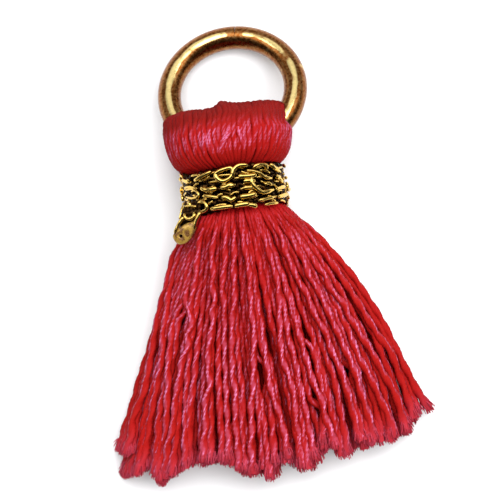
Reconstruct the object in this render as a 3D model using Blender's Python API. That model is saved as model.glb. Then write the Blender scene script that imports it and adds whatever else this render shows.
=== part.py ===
"""Small silk tassel on a jump ring, lying on its back.

Three pieces: a round wire ring, a hank of thread folded over the ring's wire with a skirt of cut
strands, and a metal braid wound about the neck. +X is to the tassel's right, +Y runs from the skirt
to the ring, and +Z is up from the surface that the tassel lies on.
"""

import math
from collections import namedtuple

import bmesh
import bpy
from mathutils import Vector

MM = 0.001
GAP = 0.3 * MM  # air between neighbouring pieces

# Jump ring: round wire, its free end down on the surface and its other end up inside the head.
RING_OUTSIDE = 8.0 * MM
WIRE = 1.2 * MM
RING_TILT = math.radians(22.3)
RING_TURN = math.radians(11.4)  # the free end swings this far to the left of +Y
RING_CENTRE_X = 0.49 * MM
RING_CENTRE_Y = 5.43 * MM
RING_SLIT = 0.14 * MM  # the cut where the wire's ends meet
SLIT_TURN = math.radians(20.0)  # from the free end, towards +X
RING_STEPS = 42
WIRE_SIDES = 12

# Thread bundle. Its sections are closed loops about a level line at this height.
BUNDLE_Z = 2.80 * MM
COLUMNS = 18  # strands across the skirt
ROWS = 8  # strands through its thickness
ROOT_Y = -0.95 * MM  # where the strands part from the bundle, hidden under the binding
ROUNDING = 0.44  # how near the bundle's section is to a true round, which 0.5 would be
ROOT_SHARE = 0.78  # how much of its cell a strand's root fills
RIB = 0.07 * MM  # how far a thread stands out of the head

Section = namedtuple("Section", "y half_width half_depth squareness rib")
BODY_SECTIONS = (
    Section(ROOT_Y, 1.95 * MM, 1.70 * MM, 2.0, 0.0),
    Section(1.10 * MM, 1.95 * MM, 1.70 * MM, 2.0, 0.0),
    Section(1.55 * MM, 2.80 * MM, 2.50 * MM, 2.2, 0.6),
    Section(2.00 * MM, 3.20 * MM, 2.94 * MM, 2.3, 1.0),
    Section(2.70 * MM, 3.38 * MM, 3.05 * MM, 2.4, 1.0),
)
CROWN_REACH = 1.90 * MM  # from the last body section to the top of the head
CROWN_TURNS = (20.0, 40.0, 58.0, 73.0, 84.0)  # degrees round the fold
CROWN_NARROWING = 0.06
CROWN_LIFT = 0.30 * MM  # the fold's top is this far above the bundle's middle, level with the wire
CROWN_BOW = 0.12  # how much lower the fold is at both sides than in the middle
LEFT_CORNER_DROP = 0.28
LEFT_CORNER_FROM = 0.6

# Skirt: the outline at each distance below the neck's centre.
Spread = namedtuple("Spread", "distance left right depth floor")
SPREADS = (
    Spread(0.95 * MM, 1.95 * MM, 1.95 * MM, 3.40 * MM, 1.10 * MM),
    Spread(1.65 * MM, 2.75 * MM, 2.90 * MM, 4.50 * MM, 0.50 * MM),
    Spread(3.00 * MM, 3.75 * MM, 4.40 * MM, 4.65 * MM, 0.0),
    Spread(6.00 * MM, 5.00 * MM, 6.35 * MM, 4.10 * MM, 0.0),
    Spread(10.0 * MM, 6.70 * MM, 7.85 * MM, 3.40 * MM, 0.0),
    Spread(15.5 * MM, 9.00 * MM, 9.00 * MM, 2.60 * MM, 0.0),
)
FULL_FAN = 3.0 * MM  # distance at which the neck's round section has become the skirt's flat one
EDGE_DEPTH = 0.16  # the skirt's depth at its sides, as a share of its middle
INSIDE_RIM = 0.95  # keeps the outermost strands inside the bundle's rim, where layers would meet
STRAND_WIDTH = 0.46 * MM
STRAND_DEPTH = 0.30 * MM
SET_OVER = (0.8, 0.0, 0.55, 1.0, 0.25)  # each row's place between two columns
SWAY = 0.16 * MM  # the strands' slow sideways wave, which neighbours share
SWAY_TURN = 0.45 / MM  # radians for each metre down the skirt
SWAY_GROWTH = 0.60 / MM
SWAY_ACROSS = 2.2  # radians from the skirt's middle to its side
STATIONS = (1.65 * MM, 3.0 * MM, 6.0 * MM, 10.0 * MM)

# Hem: distance of the cut ends from the neck's centre, by direction from straight down.
Hem = namedtuple("Hem", "degrees reach")
HEM = (
    Hem(-34.0, 15.2 * MM),
    Hem(-24.0, 15.5 * MM),
    Hem(-17.0, 14.7 * MM),
    Hem(-8.0, 14.4 * MM),
    Hem(0.0, 15.0 * MM),
    Hem(5.0, 14.6 * MM),
    Hem(14.0, 14.7 * MM),
    Hem(24.0, 15.2 * MM),
    Hem(34.0, 15.2 * MM),
)
HEM_LIMIT = 16.4 * MM
HALVINGS = 24  # how often the search for a strand's end halves its step
RAGGED = 0.55 * MM
Stray = namedtuple("Stray", "column row reach aside")
STRAYS = (
    Stray(17, 3, 0.3 * MM, 0.75 * MM),
    Stray(0, 4, 0.3 * MM, -0.15 * MM),
    Stray(3, 6, 0.6 * MM, -0.10 * MM),
    Stray(9, 7, 0.2 * MM, 0.0),
    Stray(11, 6, 0.4 * MM, 0.05 * MM),
)

# Binding: a few turns of linked metal braid.
BIND_INSIDE = (2.28 * MM, 2.03 * MM)  # half the width and depth of the hole that the neck fills
BIND_HALF_LENGTH = 1.20 * MM
BIND_WALL = 0.50 * MM
BIND_TURNS = 5
BIND_STEPS = 40
GROOVE_DEPTH = 0.16 * MM  # between one turn and the next
EDGE_ROUNDING = 0.26 * MM  # how far the band's two ends are drawn in
CREST = (0.30, 0.70)  # a turn's flat crest, as shares of its width
LINK_RISE = (0.08 * MM, -0.03 * MM)  # the links stand out by turns, more and less
TURN_WANDER = 0.05 * MM
WANDER_STEP = 1.7  # radians by which each turn's wander is set over from the last

TailStation = namedtuple("TailStation", "x y z half_width half_depth")
TAIL_SIDES = 6
TAIL_LEAN = 0.35  # radians by which the tail's outer edge is turned down round the bundle
TAIL = (
    TailStation(-2.00 * MM, -0.60 * MM, 4.40 * MM, 0.30 * MM, 0.16 * MM),
    TailStation(-2.25 * MM, -1.20 * MM, 4.62 * MM, 0.46 * MM, 0.24 * MM),
    TailStation(-2.58 * MM, -1.75 * MM, 4.58 * MM, 0.50 * MM, 0.24 * MM),
    TailStation(-2.90 * MM, -2.30 * MM, 4.42 * MM, 0.56 * MM, 0.18 * MM),
    TailStation(-3.06 * MM, -2.75 * MM, 4.25 * MM, 0.46 * MM, 0.13 * MM),
)


def clear_scene():
    for obj in list(bpy.data.objects):
        bpy.data.objects.remove(obj, do_unlink=True)


def material(name, colour, roughness, metallic=0.0):
    made = bpy.data.materials.new(name)
    made.use_nodes = True
    shader = made.node_tree.nodes["Principled BSDF"]
    shader.inputs["Base Color"].default_value = (*colour, 1.0)
    shader.inputs["Roughness"].default_value = roughness
    shader.inputs["Metallic"].default_value = metallic
    made.diffuse_color = (*colour, 1.0)
    return made


def add_object(name, mesh_work, finish):
    bmesh.ops.recalc_face_normals(mesh_work, faces=mesh_work.faces)
    mesh = bpy.data.meshes.new(name)
    mesh_work.to_mesh(mesh)
    mesh_work.free()
    mesh.materials.append(finish)
    obj = bpy.data.objects.new(name, mesh)
    bpy.context.scene.collection.objects.link(obj)
    return obj


def shade_round(obj, degrees):
    obj.data.shade_smooth()
    obj.data.set_sharp_from_angle(angle=math.radians(degrees))


def join_loops(work, first, second):
    """Faces between two closed loops of as many points."""
    for k in range(len(first)):
        after = (k + 1) % len(first)
        work.faces.new((first[k], first[after], second[after], second[k]))


def smooth(share):
    share = min(max(share, 0.0), 1.0)
    return share * share * (3.0 - 2.0 * share)


def between(rows, key, value):
    """The two rows of a table that a value lies between, and its share of the way."""
    for lower, upper in zip(rows, rows[1:]):
        if value <= getattr(upper, key):
            break
    low, high = getattr(lower, key), getattr(upper, key)
    return lower, upper, max(0.0, (value - low) / (high - low))


def scatter(*numbers):
    """A fixed, random-looking value from -1 to 1 for a set of whole numbers."""
    mixed = sum(n * k for n, k in zip(numbers, (12.9898, 78.233, 37.719)))
    value = math.sin(mixed) * 43758.5453
    return 2.0 * (value - math.floor(value)) - 1.0


# ---------------------------------------------------------------- jump ring


def ring_axes():
    """Centre of the ring, the direction to its free end, and its level direction to the right."""
    mean_radius = (RING_OUTSIDE - WIRE) / 2
    to_free_end = Vector(
        (
            -math.sin(RING_TURN) * math.cos(RING_TILT),
            math.cos(RING_TURN) * math.cos(RING_TILT),
            -math.sin(RING_TILT),
        )
    )
    level = Vector((math.cos(RING_TURN), math.sin(RING_TURN), 0.0))
    height = WIRE / 2 + mean_radius * math.sin(RING_TILT)
    centre = Vector((RING_CENTRE_X, RING_CENTRE_Y, height))
    return centre, to_free_end, level, mean_radius


def sweep_ring(wire_radius, steps, sides, slit):
    """Wire swept round the ring's circle: open by the slit, or closed where the slit is None."""
    centre, to_free_end, level, mean_radius = ring_axes()
    normal = level.cross(to_free_end)
    work = bmesh.new()
    rings = []
    half_slit = 0.0 if slit is None else slit / 2 / mean_radius
    span = 2 * math.pi - 2 * half_slit
    count = steps if slit is None else steps + 1
    for step in range(count):
        turn = SLIT_TURN + half_slit + span * step / steps
        outward = to_free_end * math.cos(turn) + level * math.sin(turn)
        loop = []
        for side in range(sides):
            angle = 2 * math.pi * (side + 0.5) / sides
            offset = outward * math.cos(angle) + normal * math.sin(angle)
            loop.append(work.verts.new(centre + outward * mean_radius + offset * wire_radius))
        rings.append(loop)
    pairs = list(zip(rings, rings[1:]))
    if slit is None:
        pairs.append((rings[-1], rings[0]))
    for first, second in pairs:
        join_loops(work, first, second)
    if slit is not None:
        work.faces.new(rings[0])
        work.faces.new(rings[-1])
    return work


def make_ring():
    gold = material("ring antique gold", (0.60, 0.38, 0.12), 0.32, 1.0)
    ring = add_object("jump_ring", sweep_ring(WIRE / 2, RING_STEPS, WIRE_SIDES, RING_SLIT), gold)
    shade_round(ring, 40)
    return ring


def make_tunnel():
    """The way that the wire takes through the head, as a cutter."""
    cutter = add_object(
        "wire_tunnel",
        sweep_ring(WIRE / 2 + GAP, RING_STEPS, WIRE_SIDES, None),
        material("cutter", (0.8, 0.8, 0.8), 0.5),
    )
    cutter.hide_render = True
    cutter.display_type = "WIRE"
    return cutter


# ---------------------------------------------------------------- thread tassel


def disc(u, v):
    """A square's point set on a nearly round disc, its grid lines kept in order."""
    return u * math.sqrt(1 - ROUNDING * v * v), v * math.sqrt(1 - ROUNDING * u * u)


def disc_height(across):
    """How far up the disc reaches at this place across it."""
    corner = math.sqrt(1 - ROUNDING)
    if abs(across) <= corner:
        return math.sqrt(1 - ROUNDING * across * across / (1 - ROUNDING))
    return math.sqrt((1 - across * across) * (1 - ROUNDING) / ROUNDING)


def rim_points():
    """(u, v) round the edge of the square, from the middle of its right side, anticlockwise.

    Between each two corners of the cells there is a point halfway, the crest of a rib.
    """
    across = [k / COLUMNS - 1 for k in range(2 * COLUMNS + 1)]
    through = [k / ROWS - 1 for k in range(2 * ROWS + 1)]
    middle = ROWS
    rim = [(1.0, v) for v in through[middle:-1]]
    rim += [(u, 1.0) for u in reversed(across[1:])]
    rim += [(-1.0, v) for v in reversed(through[1:])]
    rim += [(u, -1.0) for u in across[:-1]]
    rim += [(1.0, v) for v in through[:middle]]
    return rim


def squared(value, squareness):
    return math.copysign(abs(value) ** (2.0 / squareness), value)


def body_loop(work, rim, section, crown_share=0.0):
    """One closed loop of the bundle's surface. Above the last section it turns over the fold."""
    loop = []
    for index, (u, v) in enumerate(rim):
        cos, sin = disc(u, v)
        rib = section.rib * RIB * (1.0 if index % 2 else -1.0)
        x = squared(cos, section.squareness) * (section.half_width + rib)
        z = squared(sin, section.squareness) * (section.half_depth + rib)
        side = x / BODY_SECTIONS[-1].half_width
        corner = max(0.0, (-side - LEFT_CORNER_FROM) / (1 - LEFT_CORNER_FROM))
        lowered = 1 - CROWN_BOW * side * side - LEFT_CORNER_DROP * corner * corner
        y = section.y + crown_share * CROWN_REACH * lowered
        lifted = BUNDLE_Z + crown_share * crown_share * CROWN_LIFT + z
        loop.append(work.verts.new((x, y, max(0.0, lifted))))
    return loop


def crown_sections():
    widest = BODY_SECTIONS[-1]
    for degrees in CROWN_TURNS:
        turn = math.radians(degrees)
        narrowed = widest.half_width * (1 - CROWN_NARROWING * math.sin(turn) ** 3)
        section = widest._replace(
            half_width=narrowed,
            half_depth=widest.half_depth * math.cos(turn),
            rib=widest.rib * math.cos(turn) ** 2,
        )
        yield section, math.sin(turn)


def spread_at(distance):
    lower, upper, share = between(SPREADS, "distance", distance)
    return [a + (b - a) * share for a, b in zip(lower, upper)]


def skirt_point(u, v, distance):
    """Where a point of the bundle's square section lies at this distance below the neck's centre."""
    _, left, right, depth, floor = spread_at(distance)
    across, through = disc(u, v)
    x = ((right + left) / 2 + (right - left) / 2 * across) * across
    round_z = floor + depth * (1 + through) / 2
    thinned = math.sqrt(1 - (INSIDE_RIM * across) ** 2)
    layer = (1 + INSIDE_RIM * through / disc_height(INSIDE_RIM * across)) / 2
    flat_z = floor + depth * (EDGE_DEPTH + (1 - EDGE_DEPTH) * thinned) * layer
    fan = smooth((distance - STATIONS[0]) / (FULL_FAN - STATIONS[0]))
    z = round_z + (flat_z - round_z) * fan
    sway = SWAY * fan * math.sin(SWAY_ACROSS * u + SWAY_TURN * distance)
    sway *= math.sin(SWAY_GROWTH * distance)
    return Vector((x + sway, -distance, z))


def hem_distance(u, v, ragged):
    """How far below the neck's centre this strand is cut, found by halving."""
    short, long = STATIONS[-1], HEM_LIMIT
    for _ in range(HALVINGS):
        middle = (short + long) / 2
        point = skirt_point(u, v, middle)
        degrees = math.degrees(math.atan2(point.x, middle))
        lower, upper, share = between(HEM, "degrees", degrees)
        reach = lower.reach + (upper.reach - lower.reach) * min(share, 1.0) + ragged
        if math.hypot(point.x, middle) < reach:
            short = middle
        else:
            long = middle
    return short


def strand_loop(work, column, row, distance, aside=0.0):
    """The four corners of a strand's section, inside its own cell of the bundle."""
    fan = smooth((distance - STATIONS[0]) / (FULL_FAN - STATIONS[0]))
    cell_u, cell_v = 1.0 / COLUMNS, 1.0 / ROWS
    set_over = (SET_OVER[row % len(SET_OVER)] - 0.5) * cell_u * fan
    u = (2 * column + 1) * cell_u - 1 + set_over
    v = (2 * row + 1) * cell_v - 1
    _, left, right, depth, _ = spread_at(distance)
    half_u = min(ROOT_SHARE * cell_u, STRAND_WIDTH / (left + right))
    half_v = min(ROOT_SHARE * cell_v, STRAND_DEPTH / depth)
    corners = ((-1, -1), (1, -1), (1, 1), (-1, 1))
    points = [skirt_point(u + a * half_u, v + b * half_v, distance) for a, b in corners]
    if row == 0 and fan >= 1.0:
        lowest = min(points[0].z, points[1].z)
        for point in points:
            point.z -= lowest
        points[0].z = points[1].z = 0.0
    return [work.verts.new(point + Vector((aside, 0.0, 0.0))) for point in points]


def make_tassel(tunnel):
    crimson = material("crimson silk", (0.42, 0.015, 0.03), 0.38)
    work = bmesh.new()
    rim = rim_points()
    loops = [body_loop(work, rim, section) for section in BODY_SECTIONS]
    loops += [body_loop(work, rim, section, share) for section, share in crown_sections()]
    count = len(rim)
    for first, second in zip(loops, loops[1:]):
        join_loops(work, first, second)
    # The fold's top: each thread crosses from the front to the back of the last loop.
    top = loops[-1]
    for k in range(count // 2):
        crossing = (top[k], top[k + 1], top[-k - 1], top[-k])
        work.faces.new(tuple(dict.fromkeys(crossing)))

    # The root plane: a grid of cells, with the strand's root inset in each.
    root_rim = dict(zip(((round(u * 1e6), round(v * 1e6)) for u, v in rim), loops[0]))
    grid = {}

    def corner(u, v):
        key = (round(u * 1e6), round(v * 1e6))
        if key in root_rim:
            return root_rim[key]
        if key not in grid:
            across, through = disc(u, v)
            first = BODY_SECTIONS[0]
            place = (across * first.half_width, ROOT_Y, BUNDLE_Z + through * first.half_depth)
            grid[key] = work.verts.new(place)
        return grid[key]

    strays = {(stray.column, stray.row): stray for stray in STRAYS}
    for column in range(COLUMNS):
        for row in range(ROWS):
            u0, u1 = 2 * column / COLUMNS - 1, 2 * (column + 1) / COLUMNS - 1
            v0, v1 = 2 * row / ROWS - 1, 2 * (row + 1) / ROWS - 1
            root = strand_root(work, column, row)
            frame = ((u0, v0), (u1, v0), (u1, v1), (u0, v1))
            for side in range(4):
                after = (side + 1) % 4
                start, end = frame[side], frame[after]
                halfway = (round((start[0] + end[0]) / 2 * 1e6), round((start[1] + end[1]) / 2 * 1e6))
                edge = [corner(*start)]
                if halfway in root_rim:
                    edge.append(root_rim[halfway])
                edge.append(corner(*end))
                work.faces.new((*edge, root[after], root[side]))
            stray = strays.get((column, row))
            ragged = RAGGED * scatter(column, row) + (stray.reach if stray else 0.0)
            middle = ((u0 + u1) / 2, (v0 + v1) / 2)
            end = hem_distance(*middle, ragged)
            strand = [root]
            strand += [strand_loop(work, column, row, distance) for distance in STATIONS]
            strand.append(strand_loop(work, column, row, end, stray.aside if stray else 0.0))
            for first, second in zip(strand, strand[1:]):
                join_loops(work, first, second)
            work.faces.new(strand[-1])

    tassel = add_object("thread_tassel", work, crimson)
    cut = tassel.modifiers.new("wire tunnel", "BOOLEAN")
    cut.operation = "DIFFERENCE"
    cut.solver = "EXACT"
    cut.object = tunnel
    return tassel


def strand_root(work, column, row):
    first = BODY_SECTIONS[0]
    u = (2 * column + 1) / COLUMNS - 1
    v = (2 * row + 1) / ROWS - 1
    half_u, half_v = ROOT_SHARE / COLUMNS, ROOT_SHARE / ROWS
    loop = []
    for a, b in ((-1, -1), (1, -1), (1, 1), (-1, 1)):
        across, through = disc(u + a * half_u, v + b * half_v)
        place = (across * first.half_width, ROOT_Y, BUNDLE_Z + through * first.half_depth)
        loop.append(work.verts.new(place))
    return loop


# ---------------------------------------------------------------- neck binding


def binding_profile(step):
    """(distance out from the inner face, y) down the band at one step round the neck."""
    pitch = 2 * BIND_HALF_LENGTH / BIND_TURNS
    turn_angle = 2 * math.pi * step / BIND_STEPS
    points = [(0.0, BIND_HALF_LENGTH), (BIND_WALL - EDGE_ROUNDING, BIND_HALF_LENGTH)]
    for turn in range(BIND_TURNS):
        wander = TURN_WANDER * math.sin(turn_angle + WANDER_STEP * turn)
        start = BIND_HALF_LENGTH - turn * pitch
        crest = BIND_WALL + LINK_RISE[(step + turn) % 2]
        if turn:
            points.append((BIND_WALL - GROOVE_DEPTH, start + wander))
        points.append((crest, start - CREST[0] * pitch + wander))
        points.append((crest, start - CREST[1] * pitch + wander))
    points.append((BIND_WALL - EDGE_ROUNDING, -BIND_HALF_LENGTH))
    points.append((0.0, -BIND_HALF_LENGTH))
    return points


def make_tail(finish):
    """The braid's cut end: a strap that leaves the band and widens to a flattened tip."""
    work = bmesh.new()
    loops = []
    for station, ahead, behind in zip(TAIL, (*TAIL[1:], TAIL[-1]), (TAIL[0], *TAIL[:-1])):
        run = Vector((ahead.x - behind.x, ahead.y - behind.y, ahead.z - behind.z)).normalized()
        outward = Vector((run.y, -run.x, 0.0)).normalized()
        up = outward.cross(run) if outward.cross(run).z > 0 else run.cross(outward)
        across = outward * math.cos(TAIL_LEAN) - up * math.sin(TAIL_LEAN)
        through = across.cross(run).normalized()
        centre = Vector((station.x, station.y, station.z))
        loop = []
        for side in range(TAIL_SIDES):
            angle = 2 * math.pi * side / TAIL_SIDES
            offset = across * math.cos(angle) * station.half_width
            offset += through * math.sin(angle) * station.half_depth
            loop.append(work.verts.new(centre + offset))
        loops.append(loop)
    for first, second in zip(loops, loops[1:]):
        join_loops(work, first, second)
    work.faces.new(loops[0])
    work.faces.new(loops[-1])
    tail = add_object("binding_tail", work, finish)
    tail.hide_render = True
    tail.display_type = "WIRE"
    return tail


def make_binding():
    braid = material("antique gold braid", (0.50, 0.32, 0.10), 0.40, 1.0)
    half_width, half_depth = BIND_INSIDE
    work = bmesh.new()
    loops = []
    for step in range(BIND_STEPS):
        angle = 2 * math.pi * step / BIND_STEPS
        loop = []
        for out, y in binding_profile(step):
            x = (half_width + out) * math.cos(angle)
            z = (half_depth + out) * math.sin(angle)
            loop.append(work.verts.new((x, y, BUNDLE_Z + z)))
        loops.append(loop)
    for loop, following in zip(loops, (*loops[1:], loops[0])):
        join_loops(work, loop, following)
    binding = add_object("neck_binding", work, braid)
    joined = binding.modifiers.new("cut end", "BOOLEAN")
    joined.operation = "UNION"
    joined.solver = "EXACT"
    joined.object = make_tail(braid)
    return binding


# ---------------------------------------------------------------- placing


def centre_on_origin(objects):
    """Moves every piece so that the whole stands on z = 0 with its box centred on the origin."""
    low = Vector((math.inf,) * 3)
    high = Vector((-math.inf,) * 3)
    for obj in objects:
        if obj.hide_render:
            continue
        for vertex in obj.data.vertices:
            low = Vector(map(min, low, vertex.co))
            high = Vector(map(max, high, vertex.co))
    shift = Vector((-(low.x + high.x) / 2, -(low.y + high.y) / 2, -low.z))
    for obj in objects:
        obj.location += shift


def main():
    clear_scene()
    make_ring()
    make_tassel(make_tunnel())
    make_binding()
    centre_on_origin(list(bpy.data.objects))


main()
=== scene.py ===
"""Dresses a small silk tassel.

It has a worn gold jump ring, a hank of twisted silk folded over it and a gold braid binding.
"""

import math
from collections import namedtuple

import bmesh
import bpy
from bpy.props import FloatProperty, FloatVectorProperty, IntProperty, PointerProperty
from mathutils import Matrix, Vector


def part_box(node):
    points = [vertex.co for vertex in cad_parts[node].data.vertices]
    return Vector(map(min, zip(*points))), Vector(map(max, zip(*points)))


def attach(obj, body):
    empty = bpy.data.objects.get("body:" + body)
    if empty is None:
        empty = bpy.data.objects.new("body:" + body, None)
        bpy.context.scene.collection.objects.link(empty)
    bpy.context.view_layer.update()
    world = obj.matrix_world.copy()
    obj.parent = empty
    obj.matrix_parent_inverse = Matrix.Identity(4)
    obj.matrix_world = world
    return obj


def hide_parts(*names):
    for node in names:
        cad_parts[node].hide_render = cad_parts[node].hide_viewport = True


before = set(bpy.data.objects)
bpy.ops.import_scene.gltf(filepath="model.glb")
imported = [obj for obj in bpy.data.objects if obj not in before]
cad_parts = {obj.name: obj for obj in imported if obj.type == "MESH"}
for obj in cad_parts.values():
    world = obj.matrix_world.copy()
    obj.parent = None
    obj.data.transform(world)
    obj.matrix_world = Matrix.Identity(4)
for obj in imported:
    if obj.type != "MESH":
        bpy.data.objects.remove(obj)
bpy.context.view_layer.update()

bl_info = {
    "name": "Silk Tassel",
    "version": (1, 0, 0),
    "blender": (4, 5, 0),
    "location": "3D View > Sidebar > Tassel",
    "description": "Builds a small silk tassel on a jump ring, thread by thread",
    "category": "Add Mesh",
}

# Lengths in the tables are millimetres in the tassel's own axes: the middle of its neck is the
# origin, +X is its right, +Y runs to the ring, and z = 0 is the surface that it lies on.
MM = 0.001

# ---------------------------------------------------------------- shape of the tassel

RING_CENTRE = (0.49, 5.43)
RING_SET = (0.02, -0.07)  # the wire's place beside the solid ring's
RING_TILT = math.radians(22.3)
RING_TURN = math.radians(11.4)  # the free end swings this far to the left of +Y
SLIT_TURN = math.radians(20.0)  # from the free end, towards +X
SLIT = 0.03
# The worn strips lie along the key lamp's reflection, so they are partly a painted highlight.
WORN_LEAN = math.radians(12.0)  # how far the worn strips lie off its axis, away from the free end
RING_STEPS = 150
RING_SIDES = 36

BUNDLE_Z = 2.80  # height of the thread bundle's middle
ROUNDING = 0.44  # how near its section is to a true round, which 0.5 would be
Section = namedtuple("Section", "y half_width half_depth squareness")
BODY_SECTIONS = (
    Section(-0.95, 1.95, 1.70, 2.0),
    Section(0.90, 2.10, 1.75, 2.0),
    Section(1.12, 2.56, 2.14, 2.1),
    Section(1.38, 2.90, 2.50, 2.2),
    Section(1.75, 3.13, 2.78, 2.3),
    Section(2.20, 3.26, 2.94, 2.35),
    Section(2.70, 3.38, 3.02, 2.4),
)
CROWN_LIFT = 0.30  # the fold's top is this far above the bundle's middle, level with the wire
# Where the threads turn over the fold: their place x across the hole of the ring, and how far up.
RIDGE = (
    (-2.45, 4.24), (-1.84, 4.36), (-1.30, 4.33), (-0.87, 4.28), (-0.21, 4.30), (0.04, 4.46),
    (0.19, 4.60), (0.45, 4.54), (0.85, 4.42), (1.38, 4.40), (2.02, 4.42), (2.66, 4.37),
    (3.13, 4.27),
)
# How far the fold reaches to the left and right on its way up.
Side = namedtuple("Side", "y left right")
HEAD_SIDES = (
    Side(2.70, 3.38, 3.44),
    Side(2.98, 3.38, 3.16),
    Side(3.40, 3.37, 3.10),
    Side(3.90, 3.24, 3.12),
    Side(4.20, 2.85, 3.13),
    Side(4.50, 2.42, 3.12),
)
NESTING = 0.18  # how much less far the threads at the left side reach up the fold, as a share
HEAD_FLOOR = 0.10

# The skirt's outline at each distance below the neck.
Spread = namedtuple("Spread", "distance left right depth floor")
SPREADS = (
    Spread(0.95, 1.90, 1.90, 3.40, 1.10),
    Spread(1.20, 2.16, 2.48, 3.79, 0.88),
    Spread(1.65, 2.60, 2.86, 4.50, 0.50),
    Spread(3.00, 3.60, 4.20, 4.65, 0.0),
    Spread(6.00, 4.90, 6.20, 4.10, 0.0),
    Spread(10.0, 6.70, 7.85, 3.40, 0.0),
    Spread(15.5, 9.00, 9.00, 2.60, 0.0),
)
FAN_START, FULL_FAN = 1.65, 3.0  # between these the neck's round section becomes a flat one
EDGE_DEPTH = 0.16  # the skirt's depth at its sides, as a share of its middle
INSIDE_RIM = 0.95  # keeps the outermost threads inside the bundle's rim, where layers would meet
SET_OVER = (0.8, 0.0, 0.55, 1.0, 0.25)  # each row's place between two columns

# By direction in degrees from straight down, how far from the neck the cut ends reach.
HEM = (
    (-33.0, 15.2), (-30.0, 15.35), (-29.0, 15.35), (-28.0, 16.5), (-27.0, 16.1), (-25.2, 15.9),
    (-23.8, 15.5), (-22.6, 15.65), (-21.2, 16.2), (-19.3, 15.6), (-17.2, 14.9), (-8.0, 14.5),
    (-6.0, 15.1), (-3.5, 15.3), (-1.6, 15.2), (-0.6, 14.7), (0.0, 15.6), (1.4, 15.5), (2.4, 14.8),
    (4.3, 14.7), (6.5, 15.3), (8.4, 15.4), (11.2, 14.75), (13.0, 14.55), (15.5, 15.4), (17.3, 15.5),
    (19.5, 15.1), (24.0, 15.6), (27.2, 16.0), (29.0, 15.95), (31.5, 15.6), (34.0, 14.9),
)
SHORTEST_THREAD, LONGEST_THREAD = 10.0, 16.8
THREAD_FLOOR = 0.28  # the lowest that a thread's middle line may lie

BIND_INSIDE = (2.28, 2.03)  # half the width and depth of the hole that the neck fills
BIND_WALL = 0.50

# Links on the front of the binding: thickness, how far they stand out of its cords, and the places
# that they pass, as (degrees round the neck, distance along it). 90 degrees is straight up.
Link = namedtuple("Link", "thickness rise places")
FRONT_LINKS = (
    Link(0.22, 0.02, ((164, 0.69), (153, 0.53), (145, 0.51))),
    Link(0.14, 0.00, ((174, 1.07), (162, 0.84))),
    Link(0.20, 0.06, ((136, 0.43), (124, 0.57), (113, 0.71))),
    Link(0.21, 0.04, ((108, 0.57), (100, 0.72), (91, 0.75), (90, 0.50), (93, 0.25), (101, 0.12),
                      (107, 0.30), (108, 0.57))),
    Link(0.24, 0.06, ((90, 0.29), (89, 0.57), (85, 0.78), (79, 0.84), (73, 0.80))),
    Link(0.27, 0.04, ((84, 0.26), (75, 0.24), (64, 0.26))),
    Link(0.24, 0.02, ((79, -0.02), (73, -0.01), (66, -0.05))),
    Link(0.22, 0.02, ((80, -0.36), (69, -0.37))),
    Link(0.22, 0.04, ((66, 0.66), (62, 0.77), (57, 0.80), (51, 0.75), (49, 0.55))),
    Link(0.15, 0.02, ((74, 0.53), (67, 0.47), (59, 0.32), (53, 0.10), (44, 0.06))),
    Link(0.22, 0.02, ((43, 0.84), (38, 0.64), (29, 0.51))),
    Link(0.22, 0.05, ((37, 0.18), (31, 0.06), (24, -0.11))),
    Link(0.24, 0.05, ((128, -0.03), (123, -0.16), (116, -0.20), (109, -0.21))),
    Link(0.24, 0.04, ((105, -0.19), (99, -0.21), (93, -0.11), (91, -0.28))),
    Link(0.22, 0.06, ((70, 0.17), (70, -0.18), (65, -0.48), (58, -0.68), (44, -0.55))),
    Link(0.18, 0.00, ((55, -0.24), (49, -0.20), (45, -0.30))),
    Link(0.19, 0.02, ((40, -0.51), (30, -0.42), (17, -0.33))),
    Link(0.12, -0.02, ((161, 0.24), (146, 0.17), (134, -0.01))),
    Link(0.17, 0.01, ((127, -0.46), (118, -0.55), (109, -0.70))),
    Link(0.22, 0.03, ((105, -0.70), (99, -0.76), (95, -0.94), (90, -0.79))),
    Link(0.27, 0.06, ((85, -0.81), (76, -0.80), (67, -0.72))),
    Link(0.17, 0.02, ((64, -1.08), (55, -1.01), (45, -0.95))),
    Link(0.17, 0.04, ((39, -0.95), (25, -0.81), (9, -0.68))),
    Link(0.18, 0.14, ((16, -0.50), (4, -0.42), (-10, -0.40))),
    Link(0.21, 0.03, ((119, -1.21), (110, -1.22), (101, -1.23), (94, -1.25))),
    Link(0.26, 0.05, ((92, -1.25), (84, -1.22), (76, -1.21))),
    Link(0.23, 0.03, ((77, -1.25), (71, -1.32), (68, -1.42))),
    Link(0.15, 0.00, ((58, -1.33), (50, -1.28), (39, -1.24))),
    Link(0.15, 0.05, ((134, -0.75), (127, -0.78), (123, -0.98), (124, -1.20), (131, -1.28),
                      (135, -1.16))),
    Link(0.12, 0.00, ((156, 0.09), (143, 0.04), (135, -0.16), (133, -0.42), (143, -0.46),
                      (157, -0.27))),
    Link(0.14, 0.02, ((174, -0.66), (151, -0.79), (138, -0.94))),
    Link(0.20, 0.04, ((153, -0.59), (149, -0.76))),
    Link(0.16, 0.08, ((174, -1.03), (172, -1.27), (154, -1.48), (144, -1.41), (144, -1.20))),
    Link(0.11, 0.02, ((174, -0.62), (174, -0.97), (174, -1.39))),
)
BACK_ROWS = (0.78, 0.26, -0.20, -0.62, -1.00)  # how far along the neck each row at the back lies
LINK_SWELL = 1.18
CORD_TURNS = 7
CORD_TOP, CORD_BOTTOM = 0.98, -1.19
CORD_START = 170.0  # degrees round the neck
CORD_LEAN = 0.12  # how far the lowest turn rises at the neck's right side and drops at its left

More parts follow.
